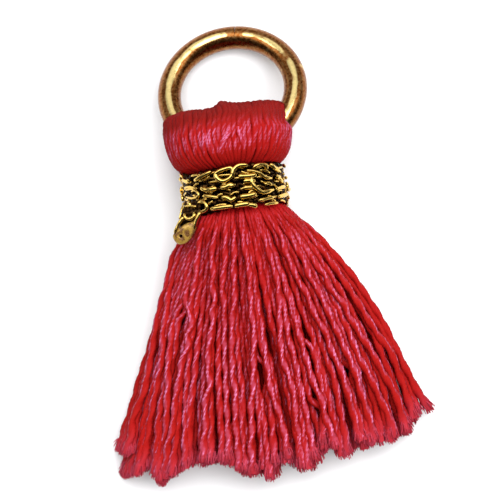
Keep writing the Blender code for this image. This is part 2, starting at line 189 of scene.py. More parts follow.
# The braid's cut end leaves the band at its lower left: the middle line of its strap, its links,
# and the drop-shaped tip that closes it.
Station = namedtuple("Station", "y x z")
TAIL = (
    Station(-2.75, -3.06, 4.25),
    Station(-2.30, -2.90, 4.42),
    Station(-1.75, -2.58, 4.58),
    Station(-1.20, -2.25, 4.62),
    Station(-0.60, -2.00, 4.40),
)
TAIL_SLOPE = 0.36  # how steeply the strap rises to the right
TailLink = namedtuple("TailLink", "thickness places")
TAIL_LINKS = (
    TailLink(0.14, ((-2.75, -0.86), (-2.41, -0.86), (-2.08, -0.96))),
    TailLink(0.21, ((-2.46, -0.66), (-2.38, -0.84))),
    TailLink(0.16, ((-2.75, -1.23), (-2.71, -1.45), (-2.48, -1.56), (-2.25, -1.45),
                    (-2.24, -1.24))),
    TailLink(0.09, ((-2.80, -0.78), (-2.94, -1.17), (-3.04, -1.48))),
    TailLink(0.18, ((-1.93, -1.30), (-2.04, -1.50), (-2.20, -1.72), (-2.34, -2.11))),
    TailLink(0.16, ((-2.82, -1.42), (-2.98, -1.58), (-3.16, -1.80), (-3.38, -2.16))),
)
TIP_OUTLINE = (
    (-2.82, -1.79), (-2.52, -1.72), (-2.26, -1.75), (-2.21, -2.04), (-2.41, -2.36), (-2.68, -2.66),
    (-2.98, -2.78), (-3.27, -2.74), (-3.46, -2.50), (-3.48, -2.23), (-3.21, -2.00),
)
TIP_HOLE, TIP_HOLE_RADIUS = (-3.07, -2.36), 0.085
# The cords of the strap: each one's place across it, and how far below the neck it ends.
STRAP_CORDS = ((-0.50, 1.95), (-0.34, 2.45), (-0.14, 2.45), (0.06, 2.45), (0.26, 2.45))

# Threads that lie on top of the others, as the places (x, y) that they pass.
PROUD = (
    ((-3.71, -3.19), (-4.13, -4.43), (-4.55, -5.34), (-4.75, -5.93), (-5.07, -6.91),
     (-5.24, -7.45), (-5.59, -8.69), (-6.04, -10.00), (-6.44, -10.74), (-6.82, -11.41),
     (-6.98, -12.22), (-7.24, -12.77)),
    ((-4.22, -5.32), (-4.35, -6.23), (-4.60, -6.80), (-4.73, -7.50), (-4.80, -8.30)),
    ((-4.21, -7.18), (-4.40, -8.11), (-4.58, -8.83), (-4.72, -9.89), (-4.89, -10.83),
     (-4.97, -11.58)),
    ((-3.27, -5.75), (-3.04, -6.80), (-3.43, -7.50), (-3.31, -7.77), (-3.66, -8.47),
     (-3.92, -8.94), (-4.06, -9.67), (-4.27, -10.16), (-4.45, -10.89), (-4.63, -11.63),
     (-4.79, -12.30), (-5.06, -12.83)),
    ((-2.20, -2.75), (-2.33, -3.53), (-2.48, -3.92), (-2.52, -4.51), (-2.77, -5.07),
     (-2.95, -5.65)),
    ((-1.41, -2.94), (-1.59, -3.36), (-1.63, -4.50), (-1.76, -4.98), (-1.72, -5.99),
     (-1.93, -6.31), (-1.98, -7.10), (-2.22, -7.77), (-2.42, -8.64), (-2.53, -9.42),
     (-2.50, -10.16), (-2.90, -11.09), (-2.97, -12.03), (-3.22, -13.21)),
    ((-0.81, -2.98), (-0.94, -3.85), (-1.28, -5.30), (-1.23, -5.75)),
    ((-0.40, -3.58), (-0.56, -4.40), (-0.69, -5.87), (-1.02, -7.32), (-1.05, -7.94),
     (-1.20, -8.39), (-1.17, -9.07), (-1.29, -9.68), (-1.24, -10.79), (-1.35, -11.60),
     (-1.44, -12.54), (-1.45, -13.17)),
    ((0.16, -3.50), (0.24, -4.50), (0.19, -5.49), (0.08, -6.97), (0.13, -7.77), (-0.01, -8.55),
     (-0.23, -10.02), (-0.32, -10.77), (-0.56, -11.70), (-0.60, -12.51), (-0.79, -13.57)),
    ((1.36, -3.53), (1.43, -4.10), (1.60, -5.02), (1.65, -5.76), (1.51, -7.21), (1.44, -8.14),
     (1.40, -9.08), (1.46, -9.66), (1.66, -10.38), (1.74, -11.02), (1.79, -11.66), (1.68, -12.40)),
    ((1.77, -6.45), (1.85, -7.20), (1.84, -8.16), (2.00, -9.19)),
    ((2.22, -3.27), (2.23, -3.84), (2.43, -4.31), (2.66, -5.24), (3.07, -6.08), (3.27, -6.78),
     (3.36, -7.24), (3.58, -7.70), (3.84, -8.26), (3.92, -8.70), (4.06, -9.38), (4.31, -9.98),
     (4.46, -10.83), (4.58, -11.36)),
    ((3.26, -4.61), (3.34, -5.31), (3.63, -5.73), (3.75, -6.20), (3.97, -6.74), (4.17, -7.38),
     (4.38, -8.03), (4.68, -9.07), (5.01, -10.00), (5.17, -10.79), (5.27, -11.56), (5.46, -12.35)),
    ((3.91, -4.89), (4.21, -5.26), (4.31, -5.85), (4.70, -6.46), (5.00, -6.83), (5.10, -7.41),
     (5.39, -7.90), (5.56, -8.38), (5.84, -8.92), (6.17, -9.60), (6.47, -10.35), (6.82, -11.15),
     (7.12, -11.89)),
    ((5.76, -6.89), (6.08, -7.56), (6.36, -8.16), (6.73, -8.89), (7.13, -9.51)),
    ((0.61, -10.89), (0.86, -11.93), (0.96, -12.70), (1.05, -13.48)),
    ((2.49, -8.57), (2.56, -9.03), (2.72, -9.87), (2.90, -10.97), (3.15, -11.50), (3.27, -12.60),
     (3.49, -13.45)),
    ((5.13, -8.60), (5.34, -9.46), (5.58, -10.12), (5.88, -10.86), (6.12, -11.53), (6.35, -12.26),
     (6.59, -12.93)),
)
PROUD_LIFT = 0.10

# Partings between threads, from one place (x, y) to the other, and how wide they open.
Parting = namedtuple("Parting", "start end width")
PARTINGS = (
    Parting((2.70, -7.6), (2.98, -13.3), 0.34),
    Parting((0.27, -8.2), (0.22, -10.9), 0.26),
    Parting((0.72, -7.7), (0.84, -9.2), 0.22),
    Parting((4.66, -9.4), (4.84, -10.9), 0.24),
    Parting((-1.70, -9.5), (-1.62, -13.6), 0.22),
    Parting((-3.55, -5.6), (-3.62, -7.6), 0.18),
)
PARTING_REACH = 0.55  # threads further off than this aren't pushed

# The cut ends gather in tufts round these directions, in degrees from straight down.
TUFTS = (-30.8, -28.2, -25.0, -21.2, -17.0, -12.6, -9.0, -5.2, -2.6, 0.6, 4.4, 7.4, 11.6, 16.0,
         20.6, 24.6, 29.0, 32.4)
TUFT_PULL = 0.45  # how much of the way to its tuft a thread is drawn
STRAY = ((7.79, -10.39), (8.12, -11.17), (8.32, -11.73), (8.62, -12.30), (8.90, -12.80))


# ---------------------------------------------------------------- curves and tables


def neck_middle():
    """Where the tassel's own origin lies in the frame, from the ring that it is measured to."""
    low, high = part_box("jump_ring")
    middle = (low + high) / 2
    return Vector((middle.x - RING_CENTRE[0] * MM, middle.y - RING_CENTRE[1] * MM, 0.0))


HOME = neck_middle()


def place(x, y, z):
    """A point of the tassel's own axes, in millimetres, as a point of the frame in metres."""
    return Vector((x, y, z)) * MM + HOME


def smooth(share):
    share = min(max(share, 0.0), 1.0)
    return share * share * (3.0 - 2.0 * share)


# A gradual change: where it starts, how far it takes, and what it comes to in the end.
Rise = namedtuple("Rise", "start over amount")


def risen(value, *rises):
    """What these changes come to together at this value."""
    return sum(rise.amount * smooth((value - rise.start) / rise.over) for rise in rises)


def straight(rows, value):
    """The second column of a table at this value of its first, on straight lines."""
    for (low, first), (high, second) in zip(rows, rows[1:]):
        if value <= high:
            break
    return first + (second - first) * min(max(0.0, (value - low) / (high - low)), 1.0)


def follow(rows, value):
    """The other columns of a table at this value of its first, on a curve through the rows."""
    index = 0
    while index < len(rows) - 2 and value > rows[index + 1][0]:
        index += 1
    before, start = rows[max(index - 1, 0)], rows[index]
    end, after = rows[index + 1], rows[min(index + 2, len(rows) - 1)]
    span = end[0] - start[0]
    t = min(max((value - start[0]) / span, 0.0), 1.0)
    found = []
    for a, b, c, d in zip(before[1:], start[1:], end[1:], after[1:]):
        slope_in = (c - a) / (end[0] - before[0]) * span
        slope_out = (d - b) / (after[0] - start[0]) * span
        found.append(
            (2 * t**3 - 3 * t**2 + 1) * b
            + (t**3 - 2 * t**2 + t) * slope_in
            + (3 * t**2 - 2 * t**3) * c
            + (t**3 - t**2) * slope_out
        )
    return found


def rounded(places, steps=5):
    """Points on a curve through these places, which closes if the last place is the first."""
    found = []
    last = len(places) - 1
    closed = places[0] == places[-1]
    for k in range(last):
        before = places[k - 1] if k else places[last - 1 if closed else 0]
        after = places[k + 2] if k + 2 <= last else places[1 if closed else last]
        for step in range(steps):
            t = step / steps
            found.append(
                tuple(
                    0.5
                    * (
                        2 * b
                        + (c - a) * t
                        + (2 * a - 5 * b + 4 * c - d) * t * t
                        + (3 * b - a - 3 * c + d) * t**3
                    )
                    for a, b, c, d in zip(before, places[k], places[k + 1], after)
                )
            )
    return [*found, places[-1]]


def scatter(*numbers):
    """A fixed, random-looking value from -1 to 1 for a set of whole numbers."""
    mixed = sum(n * k for n, k in zip(numbers, (12.9898, 78.233, 37.719)))
    value = math.sin(mixed) * 43758.5453
    return 2.0 * (value - math.floor(value)) - 1.0


# ---------------------------------------------------------------- node trees


class Value:
    """What a node puts out. Arithmetic on it adds the nodes that work it out."""

    def __init__(self, tree, socket):
        self.tree = tree
        self.socket = socket
        self.is_vector = socket.type in ("VECTOR", "RGBA")

    def work(self, operation, *others):
        if not self.is_vector:
            return self.tree.add("ShaderNodeMath", self, *others, operation=operation)
        out = 1 if operation in ("DOT_PRODUCT", "LENGTH", "DISTANCE") else 0
        return self.tree.add("ShaderNodeVectorMath", self, *others, operation=operation, out=out)

    def scaled(self, factor):
        return self.tree.add(
            "ShaderNodeVectorMath", self, operation="SCALE", inputs={"Scale": factor}, out=0
        )

    def __add__(self, other):
        return self.work("ADD", other)

    def __sub__(self, other):
        return self.work("SUBTRACT", other)

    def __rsub__(self, other):
        return self.tree.add("ShaderNodeMath", other, self, operation="SUBTRACT")

    def __mul__(self, other):
        return self.work("MULTIPLY", other)

    def __truediv__(self, other):
        return self.work("DIVIDE", other)

    def __pow__(self, other):
        return self.work("POWER", other)

    def __abs__(self):
        return self.work("ABSOLUTE")

    def at_least(self, other):
        return self.work("MAXIMUM", other)

    def ramp(self, low, high, to_low=0.0, to_high=1.0, kind="LINEAR"):
        """This value's way from low to high, as a way from to_low to to_high that stops there."""
        return self.tree.add(
            "ShaderNodeMapRange", self, low, high, to_low, to_high, interpolation_type=kind
        )

    def smooth(self, low, high, to_low=0.0, to_high=1.0):
        return self.ramp(low, high, to_low, to_high, "SMOOTHSTEP")


class Tree:
    """A node tree in the making, whose nodes are added with their inputs filled in."""

    def __init__(self, tree):
        self.tree = tree

    def node(self, kind, *values, inputs=None, **settings):
        """A new node. Values fill its first inputs, and inputs those of their name or number."""
        made = self.tree.nodes.new(kind)
        made.location = (190 * len(self.tree.nodes), 0)
        for name, value in settings.items():
            setattr(made, name, value)
        for key, value in (*enumerate(values), *(inputs or {}).items()):
            self.feed(made.inputs[key], value)
        return made

    def add(self, kind, *values, out=None, inputs=None, **settings):
        """What a new node puts out, at the output of this name or number or its first in use."""
        made = self.node(kind, *values, inputs=inputs, **settings)
        if out is None:
            return Value(self, next(socket for socket in made.outputs if socket.enabled))
        return Value(self, made.outputs[out])

    def feed(self, socket, value):
        if isinstance(value, Value):
            self.tree.links.new(value.socket, socket)
        else:
            socket.default_value = value

    def point(self, x=0.0, y=0.0, z=0.0):
        return self.add("ShaderNodeCombineXYZ", x, y, z)

    def x_of(self, vector):
        return self.add("ShaderNodeSeparateXYZ", vector, out=0)

    def noise(self, spot, scale, detail, out=0):
        inputs = {"Scale": scale, "Detail": detail}
        return self.add("ShaderNodeTexNoise", spot, inputs=inputs, out=out)

    def mix(self, share, first, second):
        colours = {0: share, 6: first, 7: second}  # the sockets that this data type uses
        return self.add("ShaderNodeMix", data_type="RGBA", inputs=colours, out=2)

    def object_place(self):
        return self.add("ShaderNodeTexCoord", out="Object")


class GroupTree(Tree):
    """A node group with its named inputs and outputs.

    An input is given as its kind of socket or, for a number, as its default.
    """

    def __init__(self, kind, name, inputs, outputs):
        super().__init__(bpy.data.node_groups.new(name, kind))
        for label, given in inputs.items():
            is_kind = isinstance(given, str)
            socket = self.socket("INPUT", label, given if is_kind else type(given).__name__.title())
            if not is_kind:
                socket.default_value = given
        for label, given in outputs.items():
            self.socket("OUTPUT", label, given)
        self.sources = self.tree.nodes.new("NodeGroupInput").outputs

    def socket(self, way, label, kind):
        """A socket of the group. The number kinds are Float and Int, as Python's own are called."""
        return self.tree.interface.new_socket(label, in_out=way, socket_type="NodeSocket" + kind)

    def given(self, label):
        return Value(self, self.sources[label])

    def give(self, **results):
        out = self.node("NodeGroupOutput")
        for label, value in results.items():
            self.feed(out.inputs[label], value)
        return self.tree


class ShapeTree(GroupTree):
    """A Geometry Nodes tree that grows a piece from lines or points."""

    def __init__(self, name, **sizes):
        named = {label.replace("_", " "): size for label, size in sizes.items()}
        inputs = {"Lines": "Geometry", **named, "Finish": "Material"}
        super().__init__("GeometryNodeTree", name, inputs, {"Piece": "Geometry"})

    def stored(self, geometry, name, value, kind="FLOAT"):
        inputs = {"Name": name, "Value": value}
        return self.add("GeometryNodeStoreNamedAttribute", geometry, data_type=kind, inputs=inputs)

    def named(self, name, kind="FLOAT"):
        return self.add("GeometryNodeInputNamedAttribute", name, data_type=kind, out="Attribute")

    def placed(self, geometry, **move):
        return self.add("GeometryNodeSetPosition", geometry, inputs=move)

    def stepped_lines(self):
        """The lines as curves with a point at every step, and how far along them each lies."""
        lines = self.add("GeometryNodeMeshToCurve", self.given("Lines"))
        step = {"Length": self.given("Step")}
        lines = self.add("GeometryNodeResampleCurve", lines, mode="LENGTH", inputs=step)
        return lines, self.add("GeometryNodeSplineParameter", out="Length")

    def round_profile(self, sides):
        inputs = {"Resolution": sides, "Radius": 1.0}
        return self.add("GeometryNodeCurvePrimitiveCircle", inputs=inputs, out="Curve")

    def swept(self, lines, profile, radius):
        inputs = {"Profile Curve": profile, "Scale": radius, "Fill Caps": True}
        return self.add("GeometryNodeCurveToMesh", lines, inputs=inputs)

    def radius(self):
        """Half the width, where the lines are neither stouter nor thinner."""
        return self.given("Width") * 0.5 * self.named("stoutness")

    def finish(self, geometry):
        made = self.add("GeometryNodeSetShadeSmooth", geometry)
        made = self.add("GeometryNodeRealizeInstances", made)
        finish = {"Material": self.given("Finish")}
        return self.give(Piece=self.add("GeometryNodeSetMaterial", made, inputs=finish))


def twisted_yarn_tree(name):
    """Two plies twisted together along each line, on a path that winds a little itself."""
    tree = ShapeTree(
        name,
        Width=0.42 * MM,
        Ply_Turn=2.35 * MM,
        Waist=0.38,
        Wave=0.02 * MM,
        Step=0.25 * MM,
        Sides=10,
        Middle=1.9 * MM,
        Flatness=6.0,
    )
    windings = 0.83  # of the path, for each turn of the plies
    lines, along = tree.stepped_lines()
    turn = along / tree.given("Ply Turn") * (2 * math.pi) + tree.named("phase")
    lines = tree.stored(lines, "yarn_length", along / MM)
    normal = tree.add("GeometryNodeInputNormal", out="Normal")
    side = tree.add("GeometryNodeInputTangent").work("CROSS_PRODUCT", normal)
    winding = turn * windings
    wave = normal.scaled(winding.work("COSINE")) + side.scaled(winding.work("SINE"))
    lines = tree.placed(lines, Offset=wave.scaled(tree.given("Wave") * tree.named("slack")))
    lines = tree.add("GeometryNodeSetCurveTilt", lines, inputs={"Tilt": turn})

    # The section of two plies: a circle drawn in at its waist.
    rim = tree.add("GeometryNodeInputPosition")
    profile = tree.stored(tree.round_profile(tree.given("Sides")), "ply_side", rim, "FLOAT_VECTOR")
    drawn_in = (abs(tree.x_of(rim)) - 1.0) * tree.given("Waist") + 1.0
    profile = tree.placed(profile, Position=rim.scaled(drawn_in))
    yarn = tree.swept(lines, profile, tree.radius())

    # How squarely each place of a thread faces out of the bundle, from -1 to 1. The silk's finish
    # paints its highlight and shade by it.
    spot = tree.add("GeometryNodeInputPosition") - tree.point(x=HOME.x, z=tree.given("Middle"))
    outward = (spot * tree.point(x=1.0, z=tree.given("Flatness"))).work("NORMALIZE")
    facing = tree.add("GeometryNodeInputNormal", out="Normal").work("DOT_PRODUCT", outward)
    return tree.finish(tree.stored(yarn, "outward", facing))


def drawn_wire_tree(name):
    """Round wire along each line, which may be thinner or thicker on the way."""
    tree = ShapeTree(name, Width=1.2 * MM, Step=0.08 * MM, Sides=10)
    lines, along = tree.stepped_lines()
    lines = tree.stored(lines, "wire_length", along / MM)
    rim = tree.add("GeometryNodeInputPosition")
    profile = tree.stored(tree.round_profile(tree.given("Sides")), "wire_side", rim, "FLOAT_VECTOR")
    return tree.finish(tree.swept(lines, profile, tree.radius()))


def frayed_end_tree(name):
    """A brush of loose fibres at each point, along the thread that was cut there."""
    tree = ShapeTree(name, Fibres=26, Thickness=0.08 * MM, Curl=0.07 * MM, Seed=7)
    fibre_points, fibre_sides = 5, 3
    lowest = 0.03 * MM
    tips = tree.add("GeometryNodeMeshToPoints", tree.given("Lines"))
    copies = {"domain": "POINT", "inputs": {"Amount": tree.given("Fibres")}}
    tips = tree.add("GeometryNodeDuplicateElements", tips, **copies, out="Geometry")
    tips = tree.stored(tips, "tip", tree.add("GeometryNodeInputPosition"), "FLOAT_VECTOR")
    ends = (-1.0, -1.0, -1.0), (1.0, 1.0, 1.0)
    seed = {"Seed": tree.given("Seed")}
    swing = tree.add("FunctionNodeRandomValue", *ends, data_type="FLOAT_VECTOR", inputs=seed, out=0)
    tips = tree.stored(tips, "swing", swing, "FLOAT_VECTOR")
    # Its inputs 2, 3 and 8 are the lowest and highest number and the seed.
    reach = tree.add("FunctionNodeRandomValue", inputs={2: 0.90, 3: 1.02, 8: 3}, out=1)
    tips = tree.stored(tips, "fibre_reach", reach)
    fibre = tree.add("GeometryNodeCurvePrimitiveLine", (0.0, 0.0, 0.0), (0.0, 0.0, MM))
    points = {"Count": fibre_points}
    fibre = tree.add("GeometryNodeResampleCurve", fibre, mode="COUNT", inputs=points)
    fibres = tree.add("GeometryNodeInstanceOnPoints", tips, inputs={"Instance": fibre})
    fibres = tree.add("GeometryNodeRealizeInstances", fibres)

    share = tree.add("GeometryNodeSplineParameter", out="Factor")
    heading = tree.named("heading", "FLOAT_VECTOR")
    swing = tree.named("swing", "FLOAT_VECTOR")
    sideways = swing - heading.scaled(swing.work("DOT_PRODUCT", heading))
    # The brush ends in a dome, so a fibre that leans out is shorter.
    lean = sideways.work("LENGTH") * 0.66
    dome = (1.0 - lean * lean).at_least(0.12).work("SQRT")
    length = tree.named("fray_length") * tree.named("fibre_reach") * dome
    opened = share**0.7 * tree.named("fray_spread") + tree.named("fray_root")
    spot = tree.named("tip", "FLOAT_VECTOR") + (
        heading.scaled(length * share) + sideways.scaled(opened)
    )
    wander = tree.noise(spot, 1.6 / MM, 1.0, out="Color") - (0.5, 0.5, 0.5)
    spot = spot + wander.scaled(tree.given("Curl") * (share * 2.0))
    fibres = tree.placed(fibres, Position=spot.at_least((-1.0, -1.0, lowest)))
    fibres = tree.stored(fibres, "pale", share * 0.30 + 0.45)
    fibres = tree.stored(fibres, "yarn_length", share)
    # Fixed values so the silk's painted highlight and painted shade fall evenly on the fibres.
    fibres = tree.stored(fibres, "outward", 0.8)
    fibres = tree.stored(fibres, "lustre", 0.5)
    profile = tree.round_profile(fibre_sides)
    profile = tree.stored(profile, "ply_side", (0.75, 0.0, 0.0), "FLOAT_VECTOR")
    radius = tree.given("Thickness") * 0.5 * (share * -0.4 + 1.0)
    return tree.finish(tree.swept(fibres, profile, radius))


def shared_group(maker):
    """The node group that this function makes, made the first time it is asked for."""
    name = maker.__name__
    return bpy.data.node_groups.get(name) or maker(name)


# ---------------------------------------------------------------- making pieces

Strand = namedtuple("Strand", "points stoutness pale lustre phase yarn_tone slack")


def strand(points, stoutness=1.0, pale=0.0, phase=0.0, tone=0.5, slack=1.0, lustre=0.3):
    """A line of points, with what varies along it given for each point or once for all."""
    given = (stoutness, pale, lustre, phase, tone, slack)
    columns = [each if isinstance(each, list) else [each] * len(points) for each in given]
    return Strand(points, *columns)


def put_column(mesh, name, values, kind="FLOAT", field="value"):
    mesh.attributes.new(name, kind, "POINT").data.foreach_set(field, values)


def line_mesh(name, strands):
    """A mesh of bare edges that carries each strand's line and its values."""
    points, edges = [], []
    for one in strands:
        start = len(points)
        points += one.points
        edges += [(start + k, start + k + 1) for k in range(len(one.points) - 1)]
    mesh = bpy.data.meshes.new(name)
    mesh.from_pydata(points, edges, [])
    for column in Strand._fields[1:]:
        put_column(mesh, column, [value for one in strands for value in getattr(one, column)])
    return mesh


def add_object(name, mesh):
    made = bpy.data.objects.new(name, mesh)
    bpy.context.scene.collection.objects.link(made)
    return made


def grow(name, mesh, maker, finish, **sizes):
    """Runs a tree over a mesh of lines or points and keeps the result as a plain mesh."""
    tree = shared_group(maker)
    source = add_object(name, mesh)
    modifier = source.modifiers.new(tree.name, "NODES")
    modifier.node_group = tree
    wanted = {"Finish": finish, **{key.replace("_", " "): value for key, value in sizes.items()}}
    for item in tree.interface.items_tree:
        if item.in_out == "INPUT" and item.name in wanted:
            modifier[item.identifier] = wanted.pop(item.name)
    if wanted:
        raise RuntimeError(f"{tree.name} has no input named {sorted(wanted)}")
    graph = bpy.context.evaluated_depsgraph_get()
    grown = bpy.data.meshes.new_from_object(source.evaluated_get(graph))
    bpy.data.objects.remove(source)
    if not grown.polygons:
        raise RuntimeError(f"{name} came out empty")
    grown.name = name
    return add_object(name, grown)


def join_loops(work, loops):
    """Faces between each closed loop of points and the next."""
    for first, second in zip(loops, loops[1:]):
        for k in range(len(first)):
            after = (k + 1) % len(first)
            work.faces.new((first[k], first[after], second[after], second[k]))


def closed_piece(name, work, finish):
    """A smooth piece from a closed shape, its faces turned outwards."""
    bmesh.ops.recalc_face_normals(work, faces=work.faces)
    mesh = bpy.data.meshes.new(name)
    work.to_mesh(mesh)
    work.free()
    mesh.shade_smooth()
    mesh.materials.append(finish)
    return add_object(name, mesh)


def settle(piece, replaced=None):
    """Puts a finished piece on the tassel's body, and hides the part that it replaces, if any."""
    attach(piece, "root")
    if replaced:
        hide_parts(replaced)
    return piece


# ---------------------------------------------------------------- finishes

FINISH = {"Colour": "Color", "Roughness": "Float", "Height": "Float"}
SILK_GLEAM = (0.95, 0.58, 0.74)  # the tint of what the silk mirrors


def silk_fibres(name):
    """Fine fibres lying along a thread: their colour, with a painted highlight and painted shade,
    their gloss and height.
    """
    colours = ("Colour", "Shadow Colour", "Pale Colour", "Crest Colour")
    numbers = ("Length", "Tone", "Pale", "Outward", "Lustre")
    inputs = {**dict.fromkeys(colours, "Color"), **dict.fromkeys(numbers, "Float")}
    inputs["Thread Place"] = "Vector"
    tree = GroupTree("ShaderNodeTree", name, inputs, FINISH)
    lustre, outward, tone = tree.given("Lustre"), tree.given("Outward"), tree.given("Tone")
    across = tree.given("Thread Place") * (4.5, 4.5, 0.0)
    # Each tone has fibres of its own, because its pattern is moved over.
    spot = across + tree.point(z=tree.given("Length")) + tree.point(x=tone * 91.0)
    fibres = tree.noise(spot, 1.5, 3.0)
    slow = tree.noise(spot, 0.55, 1.0)
    off_groove = abs(tree.x_of(tree.given("Thread Place")))

    # Painted highlight on the plies' crests: the threads with the most painted light have it
    # without a break, the others where a ply comes up.
    crest = off_groove.smooth(0.34, 0.76, 0.04, 1.0) * slow.smooth(0.41, 0.54, 0.06, 1.0)
    crest = crest.at_least(lustre.ramp(0.60, 1.0, 0.0, 0.17))
    crest = crest * outward.smooth(0.70, 0.95) * fibres.ramp(0.30, 0.60, 0.37, 0.70) * lustre

    # Painted shade: darker in the groove between the plies, on flanks that face into the bundle,
    # and where a thread has little painted light, as by the binding. The fibres, tone and slow
    # noise add the silk's own uneven tone.
    shade = off_groove.ramp(0.0, 0.50, 0.54, 1.0)
    shade = shade * fibres.ramp(0.32, 0.62, 0.55, 1.0)
    shade = shade * tone.ramp(0.0, 1.0, 0.78, 1.0)
    shade = shade * slow.ramp(0.3, 0.7, 0.85, 1.0)
    shade = shade * outward.smooth(0.0, 0.75, 0.74, 1.0)
    shade = shade * lustre.ramp(0.0, 0.12, 0.10, 1.0)

    colour = tree.mix(shade, tree.given("Shadow Colour"), tree.given("Colour"))
    colour = tree.mix(crest, colour, tree.given("Crest Colour"))
    # Paler towards the frayed ends; on the head's fold this mix gives a painted shade instead.
    paled = tree.given("Pale") * fibres.ramp(0.3, 0.7, 0.5, 1.0)
    colour = tree.mix(paled, colour, tree.given("Pale Colour"))
    return tree.give(Colour=colour, Roughness=fibres.ramp(0.3, 0.7, 0.52, 0.38), Height=fibres)


def worn_gold(name):
    """Gold with brown left in its low places: colour, gloss and height from a mask of wear."""
    numbers = ("Wear", "Grain", "Break Up")
    inputs = {"Gold": "Color", "Patina": "Color", **dict.fromkeys(numbers, "Float")}
    tree = GroupTree("ShaderNodeTree", name, inputs, FINISH)
    spot, grain = tree.object_place(), tree.given("Grain")
    coarse = tree.noise(spot, grain, 4.0)
    fine = tree.noise(spot, grain * 5.0, 2.0)
    worn = ((coarse - 0.5) * tree.given("Break Up") + tree.given("Wear")).smooth(0.30, 0.66)
    share = worn * 0.80 + fine.ramp(0.42, 0.64, 0.0, 0.11)
    return tree.give(
        Colour=tree.mix(share, tree.given("Patina"), tree.given("Gold")),
        Roughness=worn.ramp(0.0, 1.0, 0.27, 0.14) + fine.ramp(0.3, 0.7, -0.03, 0.05),
        Height=fine * 0.35 + coarse,
    )


def opaque(colour):
    return (*colour, 1.0)


def grey(level):
    return opaque([level] * 3)


def new_material(name):
    """A new material, with its shader."""
    made = bpy.data.materials.new(name)
    made.use_nodes = True
    return made, made.node_tree.nodes["Principled BSDF"]


def plain_material(name, colour, roughness):
    """A material of one colour, with its shader, for what lies in shadow and for the stage."""
    made, shader = new_material(name)
    shader.inputs["Base Color"].default_value = opaque(colour)
    shader.inputs["Roughness"].default_value = roughness
    return made, shader


def group_material(name, maker, relief, strength, values):
    """A material, with its shader, whose colour, gloss and relief come from a node group.

    A value of the group is given as it is, or as a function that works it out in the tree.
    """
    made, shader = new_material(name)
    tree = Tree(made.node_tree)
    group = tree.node("ShaderNodeGroup", node_tree=shared_group(maker))
    for label, value in values.items():
        tree.feed(group.inputs[label], value(tree) if callable(value) else value)
    colour, roughness, height = (Value(tree, group.outputs[label]) for label in FINISH)
    bump = {"Strength": strength, "Distance": relief, "Height": height}
    tree.feed(shader.inputs["Base Color"], colour)
    tree.feed(shader.inputs["Roughness"], roughness)
    tree.feed(shader.inputs["Normal"], tree.add("ShaderNodeBump", inputs=bump))
    return made, shader


def read(attribute, out="Fac"):
    """A function that adds the reading of a piece's attribute to a tree."""
    return lambda tree: tree.add("ShaderNodeAttribute", attribute_name=attribute, out=out)


def silk_material(name, sizes, pale, ior):
    """pale is the colour that the silk takes where its attribute of that name is 1: paler at the
    skirt's frayed ends, and a painted shade over the head's fold.
    """
    values = {
        "Colour": opaque(sizes.colour),
        "Shadow Colour": opaque(sizes.shadow_colour),
        "Pale Colour": opaque(pale),
        "Crest Colour": opaque(sizes.crest_colour),
        "Length": read("yarn_length"),
        "Tone": read("yarn_tone"),
        "Pale": read("pale"),
        "Outward": read("outward"),
        "Lustre": read("lustre"),
        "Thread Place": read("ply_side", "Vector"),
    }
    made, shader = group_material(name, silk_fibres, 0.03 * MM, strength=0.5, values=values)
    shader.inputs["IOR"].default_value = ior
    shader.inputs["Specular Tint"].default_value = opaque(SILK_GLEAM)
    return made


def gold_material(name, gold, patina, grain, relief, wear, break_up=1.3, metallic=1.0):
    """wear is the share of gold that is worn bright, or a function that makes a mask of it."""
    values = {
        "Gold": opaque(gold),
        "Patina": opaque(patina),
        "Grain": grain,
        "Break Up": break_up,
        "Wear": wear,
    }
    made, shader = group_material(name, worn_gold, relief, strength=0.6, values=values)
    shader.inputs["Metallic"].default_value = metallic
    return made


def ring_wear(tree):
    """Worn bright in a strip along each flat of the ring, brown round the rest of its wire. The
    strips lie where the key lamp's reflection runs, so they are partly a painted highlight.
    """
    centre, free_end, _, axis, mean_radius = ring_axes()
    worn_side = (axis - free_end * math.tan(WORN_LEAN)).normalized()
    spot = tree.object_place()
    from_centre = spot - place(*centre)
    level = from_centre - tree.point(*axis).scaled(from_centre.work("DOT_PRODUCT", axis))
    to_wire = level.work("NORMALIZE").scaled(mean_radius * MM)
    out = (from_centre - to_wire).work("NORMALIZE")
    # The strip is wider in some places along the wire than in others.
    uneven = tree.noise(spot, 330.0, 1.0).ramp(0.35, 0.65, -0.012, 0.020)
    strip = (abs(out.work("DOT_PRODUCT", worn_side)) + uneven).smooth(0.935, 0.985)
    # Brown stays at both sides of the slit, and a little of it all over.
    from_slit = spot.work("DISTANCE", place(*ring_point(SLIT_TURN)))
    return strip * from_slit.smooth(0.66 * MM, 0.86 * MM, 0.1, 1.0) * 0.66 + 0.08


def link_wear(tree):
    """Worn bright where the links stand furthest from the middle of the neck."""
    half_width, half_depth = BIND_INSIDE
    shrink = (1 / (half_width + BIND_WALL) / MM, 0.0, 1 / (half_depth + BIND_WALL) / MM)
    from_middle = tree.object_place() - place(0.0, 0.0, BUNDLE_Z)
    return (from_middle * shrink).work("LENGTH").ramp(0.93, 1.00, 0.22, 0.95)


# ---------------------------------------------------------------- sizes and colours


def length_property(name, description, millimetres, least, most):
    return FloatProperty(
        name=name,
        description=description,
        default=millimetres * MM,
        min=least * MM,
        max=most * MM,
        precision=5,
        unit="LENGTH",
    )


def colour_property(name, description, *default):
    return FloatVectorProperty(
        name=name, description=description, default=default, subtype="COLOR", min=0, max=1
    )


class RingSizes(bpy.types.PropertyGroup):
    diameter: length_property("Outside diameter", "Across the outside of the jump ring", 8.1, 5, 12)
    wire: length_property("Wire", "Thickness of the ring's wire", 1.25, 0.5, 2)
    # Gold shows in the worn strips along the key lamp's reflection, partly a painted highlight;
    # patina covers the rest.
    gold: colour_property("Gold", "Where the plating is worn bright", 0.92, 0.72, 0.30)
    patina: colour_property("Patina", "Brown left in the low places", 0.205, 0.062, 0.011)


